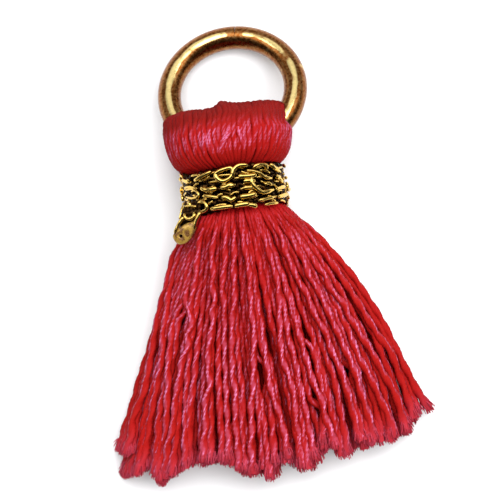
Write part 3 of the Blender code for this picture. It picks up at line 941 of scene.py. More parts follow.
class SilkSizes(bpy.types.PropertyGroup):
    width: length_property("Thread", "Width of one two-ply thread", 0.42, 0.1, 1)
    ply_turn: length_property(
        "Ply turn", "Length in which the two plies turn once about each other", 2.35, 0.5, 10
    )
    columns: IntProperty(
        name="Threads across", description="Threads across the skirt", default=29, min=10, max=40
    )
    rows: IntProperty(
        name="Threads deep", description="Threads through the skirt", default=8, min=7, max=10
    )
    colour: colour_property("Silk", "Colour of the silk", 0.274, 0.0084, 0.0058)
    # Painted shade between the plies, on the threads' flanks and by the binding; also the colour of
    # the head's core.
    shadow_colour: colour_property(
        "Silk, deep", "Colour of the silk between its plies", 0.245, 0.0045, 0.0050
    )
    pale_colour: colour_property(
        "Silk, frayed", "Colour of loose fibres at the cut ends", 0.43, 0.05, 0.088
    )
    # Painted shade: the silk over the fold is darker, as it turns away from the light.
    fold_colour: colour_property(
        "Silk, folded", "Colour of the silk pressed flat over the fold", 0.128, 0.0072, 0.0058
    )
    # Painted highlight on the crests of the plies.
    crest_colour: colour_property(
        "Silk, lustre", "Colour of the lustrous crests of the plies", 0.56, 0.198, 0.390
    )


class BraidSizes(bpy.types.PropertyGroup):
    cord: length_property("Cord", "Thickness of the dark cord under the links", 0.46, 0.2, 1)
    gold: colour_property("Gold", "Where the links are worn bright", 0.80, 0.54, 0.135)
    tip: colour_property("Tip", "Dull brass of the drop-shaped tip", 0.40, 0.24, 0.045)
    patina: colour_property("Patina", "Nearly black brown between the links", 0.12, 0.05, 0.016)


class StageSizes(bpy.types.PropertyGroup):
    floor: colour_property("Floor", "Colour of what the tassel lies on", 0.68, 0.68, 0.69)
    brightness: FloatProperty(
        name="Brightness", description="Strength of the lamps", default=1.0, min=0, max=5
    )


# ---------------------------------------------------------------- jump ring


def ring_axes():
    """The ring's centre, its directions to the free end and level, its axis and its radius."""
    sizes = bpy.context.scene.tassel_ring
    mean_radius = (sizes.diameter - sizes.wire) / 2 / MM
    to_free_end = Vector(
        (
            -math.sin(RING_TURN) * math.cos(RING_TILT),
            math.cos(RING_TURN) * math.cos(RING_TILT),
            -math.sin(RING_TILT),
        )
    )
    level = Vector((math.cos(RING_TURN), math.sin(RING_TURN), 0.0))
    height = sizes.wire / 2 / MM + mean_radius * math.sin(RING_TILT)
    centre = Vector((RING_CENTRE[0] + RING_SET[0], RING_CENTRE[1] + RING_SET[1], height))
    return centre, to_free_end, level, level.cross(to_free_end), mean_radius


def ring_point(turn):
    centre, to_free_end, level, _, mean_radius = ring_axes()
    return centre + (to_free_end * math.cos(turn) + level * math.sin(turn)) * mean_radius


class TASSEL_OT_ring(bpy.types.Operator):
    """Make the jump ring: one open turn of round wire, its ends almost touching"""

    bl_idname = "tassel.ring"
    bl_label = "Jump ring"

    def execute(self, context):
        sizes = context.scene.tassel_ring
        mean_radius = ring_axes()[-1]
        half_slit = SLIT / 2 / mean_radius
        span = 2 * math.pi - 2 * half_slit
        turns = [SLIT_TURN + half_slit + span * k / RING_STEPS for k in range(RING_STEPS + 1)]
        wire = strand([place(*ring_point(turn)) for turn in turns])
        finish = gold_material(
            "worn gold ring",
            sizes.gold,
            sizes.patina,
            grain=1200.0,
            relief=0.02 * MM,
            wear=ring_wear,
            break_up=1.7,
        )
        ring = grow(
            "jump_ring_wire",
            line_mesh("jump_ring_wire", [wire]),
            drawn_wire_tree,
            finish,
            Width=sizes.wire,
            Step=0.14 * MM,
            Sides=RING_SIDES,
        )
        settle(ring, "jump_ring")
        return {"FINISHED"}


# ---------------------------------------------------------------- skirt

# How a thread changes on its way down. The changes of its END go by the distance past its cut,
# which is below 0 until there, and the others by the distance below the neck.
ROOT_STOUTNESS = 0.62
THICKENED = (Rise(0.9, 3.0, 0.38), Rise(5.0, 6.0, 0.08))
END_SWOLLEN = (Rise(-1.8, 1.3, 0.30), Rise(-0.28, 0.28, -0.35))
END_PALED = Rise(-1.3, 1.3, 0.42)
END_IN_TUFT = Rise(-3.2, 3.2, 1.0)
# Painted light along a thread: none at the roots just below the binding, where the silk is painted
# in shade, then a painted highlight further down.
LIT = (Rise(1.35, 1.6, 0.70), Rise(3.0, 8.0, 0.66))
LOOSENED = Rise(1.2, 2.2, 1.0)
DRIFTED = Rise(3.0, 11.0, 1.0)
ROOT_DISTANCE = SPREADS[0].distance
FIELD_START, TOP_START = 0.5, 0.9  # where threads start, hidden under the binding
HALVINGS = 20

# Painted highlight on the threads: how much each has, and what is added to it in the upper rows and
# towards the sides.
PAINTED_LIGHT, PAINTED_LIGHT_UNEVEN = 0.15, 0.35
TOP_PAINTED_LIGHT = Rise(3, 4, 0.15)
LEFT_PAINTED_LIGHT = Rise(0.40, 0.45, 0.38)
RIGHT_PAINTED_LIGHT = Rise(0.60, 0.30, 0.20)

# The waves along a thread: how far they move it, and their radians to the millimetre.
Sway = namedtuple("Sway", "reach turn")
SLOW_SWAY, QUICK_SWAY, LIFTING_SWAY = Sway(0.07, 0.62), Sway(0.018, 1.7), Sway(0.10, 0.9)
SHARED_PHASE, OWN_PHASE = 2.2, 0.7  # neighbours sway nearly alike

UNEVEN_ROOTS = 0.5  # how far off the middle of its cell a root may lie, in half cells
DRIFT = 0.9  # how far a thread wanders across the others, in half cells
ROOT_RIM, THREAD_RIM = 0.985, 0.99  # the furthest across that a root and a thread may lie
# How far inside the hem's line the threads end, the lowest ones further, and give or take.
CUT_SHORT, LOWEST_CUT_SHORT, RAGGED = 0.18, 0.28, 0.20
FIRST_OPEN_ROW, CLOSED_WEIGHT = 4, 0.15  # rows below it open by this share at a parting
FIELD_STEPS, TOP_STEPS = 32, 64

FRAY_OVERLAP = 0.62  # how far before a cut end its brush of fibres starts
FRAY_LENGTH, FRAY_UNEVEN = 0.84, 0.10
FRAY_ROOT, FRAY_SPREAD = 0.16, 0.15  # how far out fibres start, and how much further they open

Mark = namedtuple("Mark", "distance across")
Thread = namedtuple("Thread", "row strand tip heading")


def disc(u, v):
    """A place of the bundle's square section set on a nearly round disc."""
    return u * math.sqrt(1 - ROUNDING * v * v), v * math.sqrt(1 - ROUNDING * u * u)


def disc_height(across):
    """How far up the disc reaches at this place across it."""
    corner = math.sqrt(1 - ROUNDING)
    if abs(across) <= corner:
        return math.sqrt(1 - ROUNDING * across * across / (1 - ROUNDING))
    return math.sqrt((1 - across * across) * (1 - ROUNDING) / ROUNDING)


def skirt_place(across, distance, round_height, layer):
    """A point of the skirt this far across, from -1 to 1, and this far below the neck.

    round_height is its height in the neck's round section and layer that in the skirt's flat
    section, both from 0 to 1.
    """
    left, right, depth, floor = follow(SPREADS, distance)
    x = ((right + left) / 2 + (right - left) / 2 * across) * across
    thinned = math.sqrt(max(0.0, 1 - (INSIDE_RIM * across) ** 2))
    flat_z = floor + depth * (EDGE_DEPTH + (1 - EDGE_DEPTH) * thinned) * layer
    round_z = floor + depth * round_height
    fan = smooth((distance - FAN_START) / (FULL_FAN - FAN_START))
    return Vector((x, -distance, round_z + (flat_z - round_z) * fan))


def skirt_point(u, v, distance):
    """Where a place (u, v) of the bundle's section lies at this distance below the neck."""
    across, through = disc(u, v)
    layer = (1 + INSIDE_RIM * through / disc_height(INSIDE_RIM * across)) / 2
    return skirt_place(across, distance, (1 + through) / 2, layer)


def skirt_top(across, distance):
    """The place on the skirt's upper surface this far across, at this distance."""
    return skirt_place(across, distance, (1 + math.sqrt(max(0.0, 1 - across * across))) / 2, 1.0)


def across_of(x, distance):
    """How far across the skirt this x is at this distance, from -1 to 1."""
    left, right, *_ = follow(SPREADS, distance)
    middle, lean = (right + left) / 2, (right - left) / 2
    if abs(lean) < 1e-6:
        return x / middle
    return (-middle + math.sqrt(max(0.0, middle * middle + 4 * lean * x))) / (2 * lean)


def past_hem(point, distance):
    """How far outside the line of the cut ends a point of the skirt lies."""
    degrees = math.degrees(math.atan2(point.x, distance))
    return math.hypot(point.x, distance) - straight(HEM, degrees)


def hem_distance(u, v, longer):
    """How far below the neck this thread is cut, found by halving."""
    short, long = SHORTEST_THREAD, LONGEST_THREAD
    for _ in range(HALVINGS):
        middle = (short + long) / 2
        if past_hem(skirt_point(u, v, middle), middle) < longer:
            short = middle
        else:
            long = middle
    return short


def top_hem_distance(across):
    """How far below the neck a thread on top of the others is cut, found by small steps."""
    shorter, step = 0.25, 0.05
    end = SHORTEST_THREAD
    while end < LONGEST_THREAD and past_hem(skirt_top(across, end), end) <= -shorter:
        end += step
    return end


def parted(point, weight):
    """The point moved sideways out of the partings between the threads."""
    bluntness = 0.6  # of a parting's ends
    moved = point.copy()
    for parting in PARTINGS:
        (x0, y0), (x1, y1) = parting.start, parting.end
        share = (point.y - y0) / (y1 - y0)
        if not 0.0 < share < 1.0:
            continue
        offset = point.x - (x0 + (x1 - x0) * share)
        if abs(offset) < PARTING_REACH:
            opened = parting.width * math.sin(math.pi * share) ** bluntness * weight
            moved.x += math.copysign(opened * (1.0 - abs(offset) / PARTING_REACH), offset)
    return moved


def gathered(x, distance):
    """How far sideways the nearest tuft draws a cut end at this place."""
    degrees = math.degrees(math.atan2(x, distance))
    nearest = min(TUFTS, key=lambda tuft: abs(tuft - degrees))
    return distance * math.tan(math.radians(nearest)) - x


def finished_thread(row, spots, cut, phase, tone, slack, lustre):
    """A thread from its places below the neck, thickened and paled towards its cut end."""
    points, stoutness, pale, painted_light_along = [], [], [], []
    for spot in spots:
        distance = -spot.y
        swollen = risen(distance - cut, *END_SWOLLEN) + risen(distance, *THICKENED)
        points.append(place(*spot))
        stoutness.append(ROOT_STOUTNESS + swollen)
        pale.append(risen(distance - cut, END_PALED))
        # Painted light: a painted shade at the roots by the binding, a painted highlight further
        # down.
        painted_light_along.append(lustre * risen(distance, *LIT))
    one = strand(points, stoutness, pale, phase, tone, slack, painted_light_along)
    return Thread(row, one, points[-1], (points[-1] - points[-3]).normalized())


def field_thread(sizes, row, column):
    """The thread of the skirt in this row and column."""
    cell_u, cell_v = 1.0 / sizes.columns, 1.0 / sizes.rows
    set_over = (SET_OVER[row % len(SET_OVER)] - 0.5) * cell_u
    u = (2 * column + 1) * cell_u - 1 + set_over + UNEVEN_ROOTS * cell_u * scatter(column, row, 1)
    v = (2 * row + 1) * cell_v - 1 + UNEVEN_ROOTS * cell_v * scatter(column, row, 2)
    u = min(max(u, -ROOT_RIM), ROOT_RIM)
    drift = DRIFT * cell_u * scatter(column, row, 3)
    drawn_in = CUT_SHORT + LOWEST_CUT_SHORT * (1.0 - row / (sizes.rows - 1))
    cut = hem_distance(u, v, RAGGED * scatter(column, row, 4) - drawn_in)
    phase = math.pi * scatter(column, row, 6)
    sway_phase = SHARED_PHASE * u + OWN_PHASE * scatter(column, row, 7)
    pull = TUFT_PULL * gathered(skirt_point(u, v, cut).x, cut)
    spots = []
    for k in range(FIELD_STEPS + 1):
        distance = FIELD_START + (cut - FIELD_START) * k / FIELD_STEPS
        loosened = risen(distance, LOOSENED)
        across = min(max(u + drift * risen(distance, DRIFTED), -THREAD_RIM), THREAD_RIM)
        spot = skirt_point(across, v, max(distance, ROOT_DISTANCE))
        spot.y = -distance
        free = loosened * (1.0 - abs(u) ** 5)
        spot.x += SLOW_SWAY.reach * free * math.sin(SLOW_SWAY.turn * distance + sway_phase)
        spot.x += QUICK_SWAY.reach * free * math.sin(QUICK_SWAY.turn * distance + 2.0 * phase)
        spot.x += pull * risen(distance - cut, END_IN_TUFT)
        spot.z += LIFTING_SWAY.reach * loosened * math.sin(LIFTING_SWAY.turn * distance + phase)
        spot = parted(spot, 1.0 if row >= FIRST_OPEN_ROW else CLOSED_WEIGHT)
        spot.z = max(spot.z, THREAD_FLOOR)
        spots.append(spot)
    tone = 0.5 + 0.5 * scatter(column, row, 8)
    slack = 0.7 + 0.5 * abs(scatter(column, row, 9))
    lustre = PAINTED_LIGHT + PAINTED_LIGHT_UNEVEN * abs(scatter(column, row, 10)) + risen(row, TOP_PAINTED_LIGHT)
    lustre += risen(-u, LEFT_PAINTED_LIGHT) + risen(u, RIGHT_PAINTED_LIGHT)
    return finished_thread(row, spots, cut, phase, tone, slack, lustre)


def top_thread(row, places, number, lift, cut=None):
    """A thread on top of the others that passes through these places on its way to the hem.

    Above the first of them it comes up from below, and past the last it goes down a little.
    """
    risen_before, sunk_after, depth = Rise(-1.2, 1.2, 1.0), Rise(0.0, 1.5, 0.8), 0.22
    marks = [Mark(-y, across_of(x, -y)) for x, y in places]
    first, final = marks[0], marks[-1]
    if cut is None:
        cut = top_hem_distance(final.across)
    spots = []
    for k in range(TOP_STEPS + 1):
        distance = TOP_START + (cut - TOP_START) * k / TOP_STEPS
        if distance <= first.distance:
            across = first.across
        elif distance >= final.distance:
            across = final.across
        else:
            across = follow(marks, distance)[0]
        shown = risen(distance - first.distance, risen_before)
        shown *= 1.0 - risen(distance - final.distance, sunk_after)
        spot = skirt_top(across, max(distance, ROOT_DISTANCE))
        spot.y = -distance
        spot.z = max(spot.z + (lift * shown - depth * (1.0 - shown)), THREAD_FLOOR)
        spots.append(spot)
    phase = math.pi * scatter(number, 41)
    return finished_thread(row, spots, cut, phase, tone=0.9, slack=0.55, lustre=1.0)


def tip_mesh(name, threads):
    """Bare points at the threads' cut ends, with what a brush of fibres needs to know."""
    count = len(threads)
    mesh = bpy.data.meshes.new(name)
    mesh.from_pydata([one.tip - FRAY_OVERLAP * MM * one.heading for one in threads], [], [])
    lengths = [(FRAY_LENGTH + FRAY_UNEVEN * scatter(n, 51)) * MM for n in range(count)]
    put_column(mesh, "fray_length", lengths)
    put_column(mesh, "fray_spread", [FRAY_SPREAD * MM] * count)
    put_column(mesh, "fray_root", [FRAY_ROOT * MM] * count)
    put_column(mesh, "yarn_tone", [one.strand.yarn_tone[0] for one in threads])
    headings = [value for one in threads for value in one.heading]
    put_column(mesh, "heading", headings, "FLOAT_VECTOR", "vector")
    return mesh


class TASSEL_OT_skirt(bpy.types.Operator):
    """Make the skirt: two-ply threads that fan out from the neck, with frayed cut ends"""

    bl_idname = "tassel.skirt"
    bl_label = "Skirt of threads"

    def execute(self, context):
        sizes = context.scene.tassel_silk
        finish = silk_material("crimson silk thread", sizes, sizes.pale_colour, ior=1.15)
        top_row = sizes.rows - 1
        rows, columns = range(sizes.rows), range(sizes.columns)
        threads = [field_thread(sizes, row, column) for row in rows for column in columns]
        threads += [top_thread(top_row, places, n, PROUD_LIFT) for n, places in enumerate(PROUD)]
        threads.append(top_thread(top_row, STRAY, len(PROUD), 0.0, -STRAY[-1][1]))
        for name, first, last in (
            ("skirt_under", 0, 2),
            ("skirt_middle", 3, 5),
            ("skirt_upper", 6, top_row),
        ):
            strands = [one.strand for one in threads if first <= one.row <= last]
            source = line_mesh(name, strands)
            yarn = {"Width": sizes.width, "Ply_Turn": sizes.ply_turn}
            piece = grow(name, source, twisted_yarn_tree, finish, **yarn)
            settle(piece, "thread_tassel" if first == 0 else None)
        brushes = grow("frayed_ends", tip_mesh("frayed_ends", threads), frayed_end_tree, finish)
        settle(brushes)
        return {"FINISHED"}


# ---------------------------------------------------------------- head

# Threads on the front that slip across their neighbours: from one turn and way to another.
Crossing = namedtuple("Crossing", "turn way end_turn end_way")
CROSSINGS = (
    Crossing(1.68, 0.62, 1.54, 1.06),
    Crossing(1.56, 1.04, 1.72, 0.62),
    Crossing(1.36, 0.64, 1.46, 1.06),
    Crossing(1.88, 1.02, 1.97, 0.66),
)
CROSSING_STEPS = 24
HEAD_THREADS = 38
HEAD_STEPS = 44  # from the neck to the top of the fold

# How a thread of the head changes on its way: it swells above the neck, has a painted highlight in
# the middle of the head and is pressed flat over the fold, where it is also painted darker as
# painted shade.
HEAD_SWOLLEN = Rise(0.5, 0.35, 0.38)
HEAD_LIT, HEAD_UNLIT = Rise(0.5, 0.2, 1.0), Rise(0.95, 0.35, 1.0)
HEAD_PRESSED, PRESSED_WIDER = Rise(0.95, 0.38, 0.95), 0.30

CORE_INSET = 0.24
CORE_SIDES = 48
CORE_WAYS = (0.0, 0.3, 0.55, 0.7, 0.8, 0.9, 1.0, 1.2, 1.4, 1.6, 1.75, 1.88, 1.96)


def squared(value, squareness):
    return math.copysign(abs(value) ** (2.0 / squareness), value)


def section_place(turn, half_width, half_depth, squareness, inset=0.0):
    """The place (x, z) at this angle round a section of the bundle."""
    x = squared(math.cos(turn), squareness) * (half_width - inset)
    z = squared(math.sin(turn), squareness) * (half_depth - inset)
    return x, z


def head_point(turn, way, inset=0.0):
    """A point on the head's surface.

    turn is the angle round the bundle's section, from its right side, 0 to pi on the front.
    way runs from 0 at the neck to 1 at the last straight section and 2 at the top of the fold.
    """
    widest = BODY_SECTIONS[-1]
    if way <= 1.0:
        y = BODY_SECTIONS[0].y + (widest.y - BODY_SECTIONS[0].y) * way
        x, z = section_place(turn, *follow(BODY_SECTIONS, y), inset)
    else:
        fold = (way - 1.0) * math.pi / 2
        across = squared(math.cos(turn), widest.squareness)
        through = squared(math.sin(turn), widest.squareness)
        # Over the fold the threads close up to fit the hole of the ring.
        leftmost, rightmost = RIDGE[0][0], RIDGE[-1][0]
        crest = (rightmost + leftmost) / 2 + (rightmost - leftmost) / 2 * across
        nested = 1.0 - NESTING * (1.0 - abs(through) ** 0.5) * (1.0 - smooth((across - 0.4) / 0.5))
        y = widest.y + (straight(RIDGE, crest) - inset - widest.y) * nested * math.sin(fold)
        left, right = follow(HEAD_SIDES, y)
        x = ((right + left) / 2 + (right - left) / 2 * across - inset) * across
        z = through * (widest.half_depth - inset) * math.cos(fold)
        z += CROWN_LIFT * math.sin(fold) ** 2
    return Vector((x, y, max(BUNDLE_Z + z, HEAD_FLOOR + inset)))


def clear_of_wire(point, margin):
    """The same point, raised or lowered off the ring's wire if it lies in it."""
    centre, _, _, axis, mean_radius = ring_axes()
    room = bpy.context.scene.tassel_ring.wire / 2 / MM + margin
    most_moves, past = 14, 0.01
    moved = point.copy()
    for _ in range(most_moves):
        from_centre = moved - centre
        in_plane = from_centre - axis * from_centre.dot(axis)
        away = from_centre - in_plane.normalized() * mean_radius
        if away.length >= room:
            break
        moved.z += math.copysign(room - away.length + past, away.z)
    return moved


def section_turns(count):
    """Angles that divide the front half of the head's widest section into equal lengths."""
    fine = 720
    turns = [math.pi * k / fine for k in range(fine + 1)]
    spots = [section_place(turn, *BODY_SECTIONS[-1][1:]) for turn in turns]
    lengths = [0.0]
    for (x0, z0), (x1, z1) in zip(spots, spots[1:]):
        lengths.append(lengths[-1] + math.hypot(x1 - x0, z1 - z0))
    found, k = [], 0
    for n in range(count):
        wanted = lengths[-1] * (n + 0.5) / count
        while lengths[k + 1] < wanted:
            k += 1
        found.append(turns[k])
    return found


def fold_thread(number, turn):
    """A thread from the neck up the front, over the ring's wire and down the back."""
    inset, pressed_inset, clearance = 0.13, 0.06, 0.12
    wobble, wobble_turn = 0.022, 0.26
    phase = math.pi * scatter(number, 1, 11)
    own_painted_light = 0.55 + 0.35 * scatter(number, 13)
    points, stoutness, pressed, lustre = [], [], [], []
    for k in range(2 * HEAD_STEPS + 1):
        way = 2.0 * min(k, 2 * HEAD_STEPS - k) / HEAD_STEPS
        angle = turn + wobble * math.sin(wobble_turn * k + phase)
        flat = risen(way, HEAD_PRESSED)
        spot = head_point(angle if k <= HEAD_STEPS else -angle, way, inset + pressed_inset * flat)
        points.append(place(*clear_of_wire(spot, clearance)))
        stoutness.append(ROOT_STOUTNESS + risen(way, HEAD_SWOLLEN) + PRESSED_WIDER * flat)
        # How far it is pressed flat also sets the painted shade over the fold, through the silk's
        # pale attribute.
        pressed.append(flat)
        lustre.append(0.10 + own_painted_light * (risen(way, HEAD_LIT) * (1.0 - risen(way, HEAD_UNLIT))))
    tone = 0.65 + 0.25 * scatter(number, 2, 12)
    return strand(points, stoutness, pressed, phase, tone, slack=0.5, lustre=lustre)


def crossing_thread(number, path):
    """A short thread that comes up between the others and goes down again."""
    inset, lift = 0.20, 0.14
    points = []
    for k in range(CROSSING_STEPS + 1):
        share = k / CROSSING_STEPS
        turn = path.turn + (path.end_turn - path.turn) * smooth(share)
        way = path.way + (path.end_way - path.way) * share
        shown = math.sin(math.pi * share) ** 0.5
        points.append(place(*head_point(turn, way, inset - lift * shown)))
    phase = scatter(number, 14)
    return strand(points, stoutness=0.9, phase=phase, tone=0.8, slack=0.3, lustre=0.9)


def head_core(finish):
    """The inside of the fold, coloured with the silk's painted shade, which closes the gaps between
    its threads.
    """
    work = bmesh.new()
    loops = []
    for way in CORE_WAYS:
        turns = [2 * math.pi * (k + 0.5) / CORE_SIDES for k in range(CORE_SIDES)]
        loops.append([work.verts.new(place(*head_point(turn, way, CORE_INSET))) for turn in turns])
    join_loops(work, loops)
    top = loops[-1]
    for k in range(CORE_SIDES // 2 - 1):
        work.faces.new((top[k], top[k + 1], top[-k - 2], top[-k - 1]))
    work.faces.new(loops[0])
    return closed_piece("head_core", work, finish)


class TASSEL_OT_head(bpy.types.Operator):
    """Make the head: threads folded over the ring's wire, side by side on a core in painted shade
    """

    bl_idname = "tassel.head"
    bl_label = "Folded head"

    def execute(self, context):
        sizes = context.scene.tassel_silk
        # The head's silk turns to the painted fold shade where its threads go over the ring.
        finish = silk_material("crimson silk fold", sizes, sizes.fold_colour, ior=1.09)
        strands = [fold_thread(n, turn) for n, turn in enumerate(section_turns(HEAD_THREADS))]
        strands += [crossing_thread(n, path) for n, path in enumerate(CROSSINGS)]
        threads = grow(
            "head_threads",
            line_mesh("head_threads", strands),
            twisted_yarn_tree,
            finish,
            Width=0.40 * MM,
            Ply_Turn=1.8 * MM,
            Waist=0.16,
            Wave=0.02 * MM,
            Step=0.16 * MM,
            Middle=BUNDLE_Z * MM,
            Flatness=1.2,
        )
        settle(threads)
        shadow, _ = plain_material("silk in shadow", sizes.shadow_colour, roughness=0.9)
        settle(head_core(shadow))
        return {"FINISHED"}


# ---------------------------------------------------------------- binding

TURN_STEPS = 60  # points of the wound cord in each of its turns
CORD_OUT = 0.20
BLUNT_END, BLUNT_OVER = 0.60, 0.14  # a wire's thickness at its ends, and the share it takes
LINK_OUT, TAIL_LIFT = 0.06, 0.10  # how far links stand out of the band, and of the tail
TIP_SHARES = (0.0, 0.12, 0.3, 0.55, 0.78, 0.92, 1.0)  # of the way from the tip's hole to its rim
SUNK = Rise(12, 8, 0.28)  # a strap's cord goes down to its end, by its point
STRAP_STEPS = 23

# The thin wires between the links, and the forms of the links on the back.
WIRE_ROWS, LOWEST_WIRES, WIRE_ROW_STEP = 8, -1.12, 0.26
BACK_START, BACK_END, BACK_STEP = 186.0, 366.0, 23.0
BACK_FORMS = (
    ((-12, 0.00), (0, 0.03), (12, -0.02)),
    ((-9, -0.14), (-9, 0.10), (-3, 0.19), (4, 0.19), (9, 0.08)),
    ((-11, 0.10), (-6, -0.10), (2, -0.17), (9, -0.09), (12, 0.08)),
    ((-9, 0.0), (-4, 0.15), (5, 0.15), (9, 0.0), (5, -0.15), (-4, -0.15), (-9, 0.0)),
    ((-10, -0.10), (0, 0.02), (10, 0.14)),
    ((-8, 0.06), (0, 0.0), (8, -0.08)),
)


def band_point(degrees, y, out):
    """A point this far outside the neck, at this angle round it and this distance along it."""
    half_width, half_depth = BIND_INSIDE
    turn = math.radians(degrees)
    x = (half_width + out) * math.cos(turn)
    z = (half_depth + out) * math.sin(turn)
    return Vector((x, y, BUNDLE_Z + z))


def wire_strand(link, number, surface):
    """A link of the braid's wire on a surface, uneven in thickness and blunt at its open ends."""
    points = [place(*surface(*spot)) for spot in rounded(link.places)]
    closed = link.places[0] == link.places[-1]
    last = len(points) - 1
    stoutness = []
    for k in range(last + 1):
        end = min(k, last - k) / last
        blunt = 1.0 if closed else BLUNT_END + (1.0 - BLUNT_END) * smooth(end / BLUNT_OVER)
        uneven = 1.0 + 0.10 * scatter(number, k // 3, 22)
        stoutness.append(link.thickness * LINK_SWELL * blunt * uneven)
    return strand(points, stoutness, tone=0.5 + 0.5 * scatter(number, 3, 21))


def band_strand(link, number):
    out = BIND_WALL + link.rise - link.thickness / 2 + LINK_OUT
    return wire_strand(link, number, lambda degrees, y: band_point(degrees, y, out))


def tail_surface(x, y, lift=0.0):
    """A point on the upper side of the tail's strap, or this far above it."""
    middle, height = follow(TAIL, min(max(y, TAIL[0].y), TAIL[-1].y))
    return Vector((x, y, height + TAIL_SLOPE * (x - middle) + lift))


def tail_strand(link, number):
    return wire_strand(link, number, lambda x, y: tail_surface(x, y, TAIL_LIFT))


def tail_tip(finish):
    """The drop-shaped end of the tail: a small domed plate with a hole."""
    half_thickness, dome, dent = 0.05, 0.10, 0.05
    outline = rounded((*TIP_OUTLINE, TIP_OUTLINE[0]), 4)[:-1]
    work = bmesh.new()
    levels = []
    for side in (1, -1):
        for share in TIP_SHARES if side > 0 else reversed(TIP_SHARES):
            bulge = dome * math.sqrt(1 - share**3) - dent * (1 - smooth(share / 0.3))
            loop = []
            for x, y in outline:
                away = Vector((x - TIP_HOLE[0], y - TIP_HOLE[1])).normalized()
                from_x = TIP_HOLE[0] + away.x * TIP_HOLE_RADIUS
                from_y = TIP_HOLE[1] + away.y * TIP_HOLE_RADIUS
                px, py = from_x + (x - from_x) * share, from_y + (y - from_y) * share
                spot = tail_surface(px, py, side * (half_thickness + bulge))
                loop.append(work.verts.new(place(*spot)))
            levels.append(loop)
    join_loops(work, (*levels, levels[0]))
    return closed_piece("binding_tip", work, finish)


def thin_wires():
    """Short thin wires that lie low between the links, all round the neck."""
    thickness, sunk, gap = 0.11, -0.10, 12.0
    found = []
    for row in range(WIRE_ROWS):
        y = LOWEST_WIRES + WIRE_ROW_STEP * row
        degrees = 20.0 * scatter(row, 61)
        while degrees < 360.0:
            number = len(found)
            run = 11.0 + 5.0 * scatter(row, number, 62)
            rise = 0.08 * scatter(row, number, 63)
            bow = 0.07 * scatter(row, number, 64)
            places = ((degrees, y - rise), (degrees + run / 2, y + bow), (degrees + run, y + rise))
            found.append(Link(thickness, sunk, places))
            degrees += run + gap + 4.0 * scatter(row, number, 65)
    return found


def back_links():
    """Links for the sides and the back of the binding, of the same forms as the front's."""
    count = len(BACK_FORMS)
    found = []
    for row, y in enumerate(BACK_ROWS):
        degrees = BACK_START + 7.0 * scatter(row, 31)
        while degrees < BACK_END:
            whole = int(degrees)
            form = BACK_FORMS[int((scatter(row, whole, 32) * 0.5 + 0.5) * count) % count]
            lean = 0.06 * scatter(row, whole, 33)
            places = tuple((degrees + across, y + up + lean * across / 10) for across, up in form)
            rise = 0.03 + 0.03 * scatter(row, whole, 34)
            thickness = 0.18 + 0.03 * scatter(row, whole, 35)
            found.append(Link(thickness, rise, places))
            degrees += BACK_STEP + 3.0 * scatter(row, whole, 36)
    return found


def wound_cord():
    """The cord that is wound round the neck from above."""
    steps = TURN_STEPS * CORD_TURNS
    points = []
    for k in range(steps + 1):
        degrees = CORD_START + 360.0 * k / TURN_STEPS
        y = CORD_TOP + (CORD_BOTTOM - CORD_TOP) * k / steps
        y += CORD_LEAN * math.cos(math.radians(degrees)) * k / steps
        points.append(place(*band_point(degrees, y, CORD_OUT)))
    return strand(points, slack=0.0)


def strap_cord(across, end):
    """A cord of the tail's strap, this far to the right of its middle."""
    start, depth, thickness = 0.7, 0.10, 0.74
    points = []
    for k in range(STRAP_STEPS + 1):
        y = -start - (end - start) * k / STRAP_STEPS
        middle = follow(TAIL, y)[0]
        points.append(place(*tail_surface(middle + across, y, -depth - risen(k, SUNK))))
    return strand(points, thickness, phase=across, slack=0.0)


class TASSEL_OT_binding(bpy.types.Operator):
    """Make the binding: dark cord wound round the neck, under linked bright wire"""

    bl_idname = "tassel.binding"
    bl_label = "Gold braid binding"

    def execute(self, context):
        sizes = context.scene.tassel_braid
        bright = gold_material(
            "gold braid links",
            sizes.gold,
            sizes.patina,
            grain=1100.0,
            relief=0.01 * MM,
            wear=link_wear,
            break_up=0.6,
        )
        dark = gold_material(
            "dark braid cord",
            gold=(0.12, 0.058, 0.016),
            patina=(0.018, 0.008, 0.003),
            grain=1800.0,
            relief=0.03 * MM,
            wear=0.30,
        )
        worn = gold_material(
            "gold braid tip",
            sizes.tip,
            sizes.patina,
            grain=3600.0,
            relief=0.05 * MM,
            wear=0.50,
            break_up=2.8,
            metallic=0.35,
        )
        links = (*FRONT_LINKS, *back_links(), *thin_wires())
        strands = [band_strand(link, number) for number, link in enumerate(links)]
        strands += [tail_strand(link, number) for number, link in enumerate(TAIL_LINKS, 90)]
        source = line_mesh("binding_links", strands)
        step = 0.07 * MM
        wire = grow("binding_links", source, drawn_wire_tree, bright, Width=MM, Step=step, Sides=8)
        settle(wire, "neck_binding")
        cords = [wound_cord(), *(strap_cord(*cord) for cord in STRAP_CORDS)]
        cord = grow(
            "binding_cord",
            line_mesh("binding_cord", cords),
            twisted_yarn_tree,
            dark,
            Width=sizes.cord,
            Ply_Turn=0.8 * MM,
            Waist=0.35,
            Wave=0.0,
            Step=0.08 * MM,
            Sides=12,
        )
        settle(cord)
        settle(tail_tip(worn))
        return {"FINISHED"}


# ---------------------------------------------------------------- stage

CAMERA_ELEVATION = math.radians(84.0)
CAMERA_ROLL = math.radians(7.0)
CAMERA_DISTANCE = 110.6
CAMERA_LENS, CAMERA_SENSOR = 150.0, 36.0
NEAREST_SEEN, FURTHEST_SEEN = 1 * MM, 10.0
AIM_RIGHT, AIM_DOWN = 0.419, 3.341
FLOOR_HALF = 2.0  # metres

Lamp = namedtuple("Lamp", "name where aim size power mirrored")
LAMPS = (
    Lamp("key_softbox", (0, 82, 184), (0, 0, 0), (520, 112), 0.53, True),
    Lamp("overhead_softbox", (62, -20, 225), (0, -4, 0), (300, 300), 1.17, False),
)


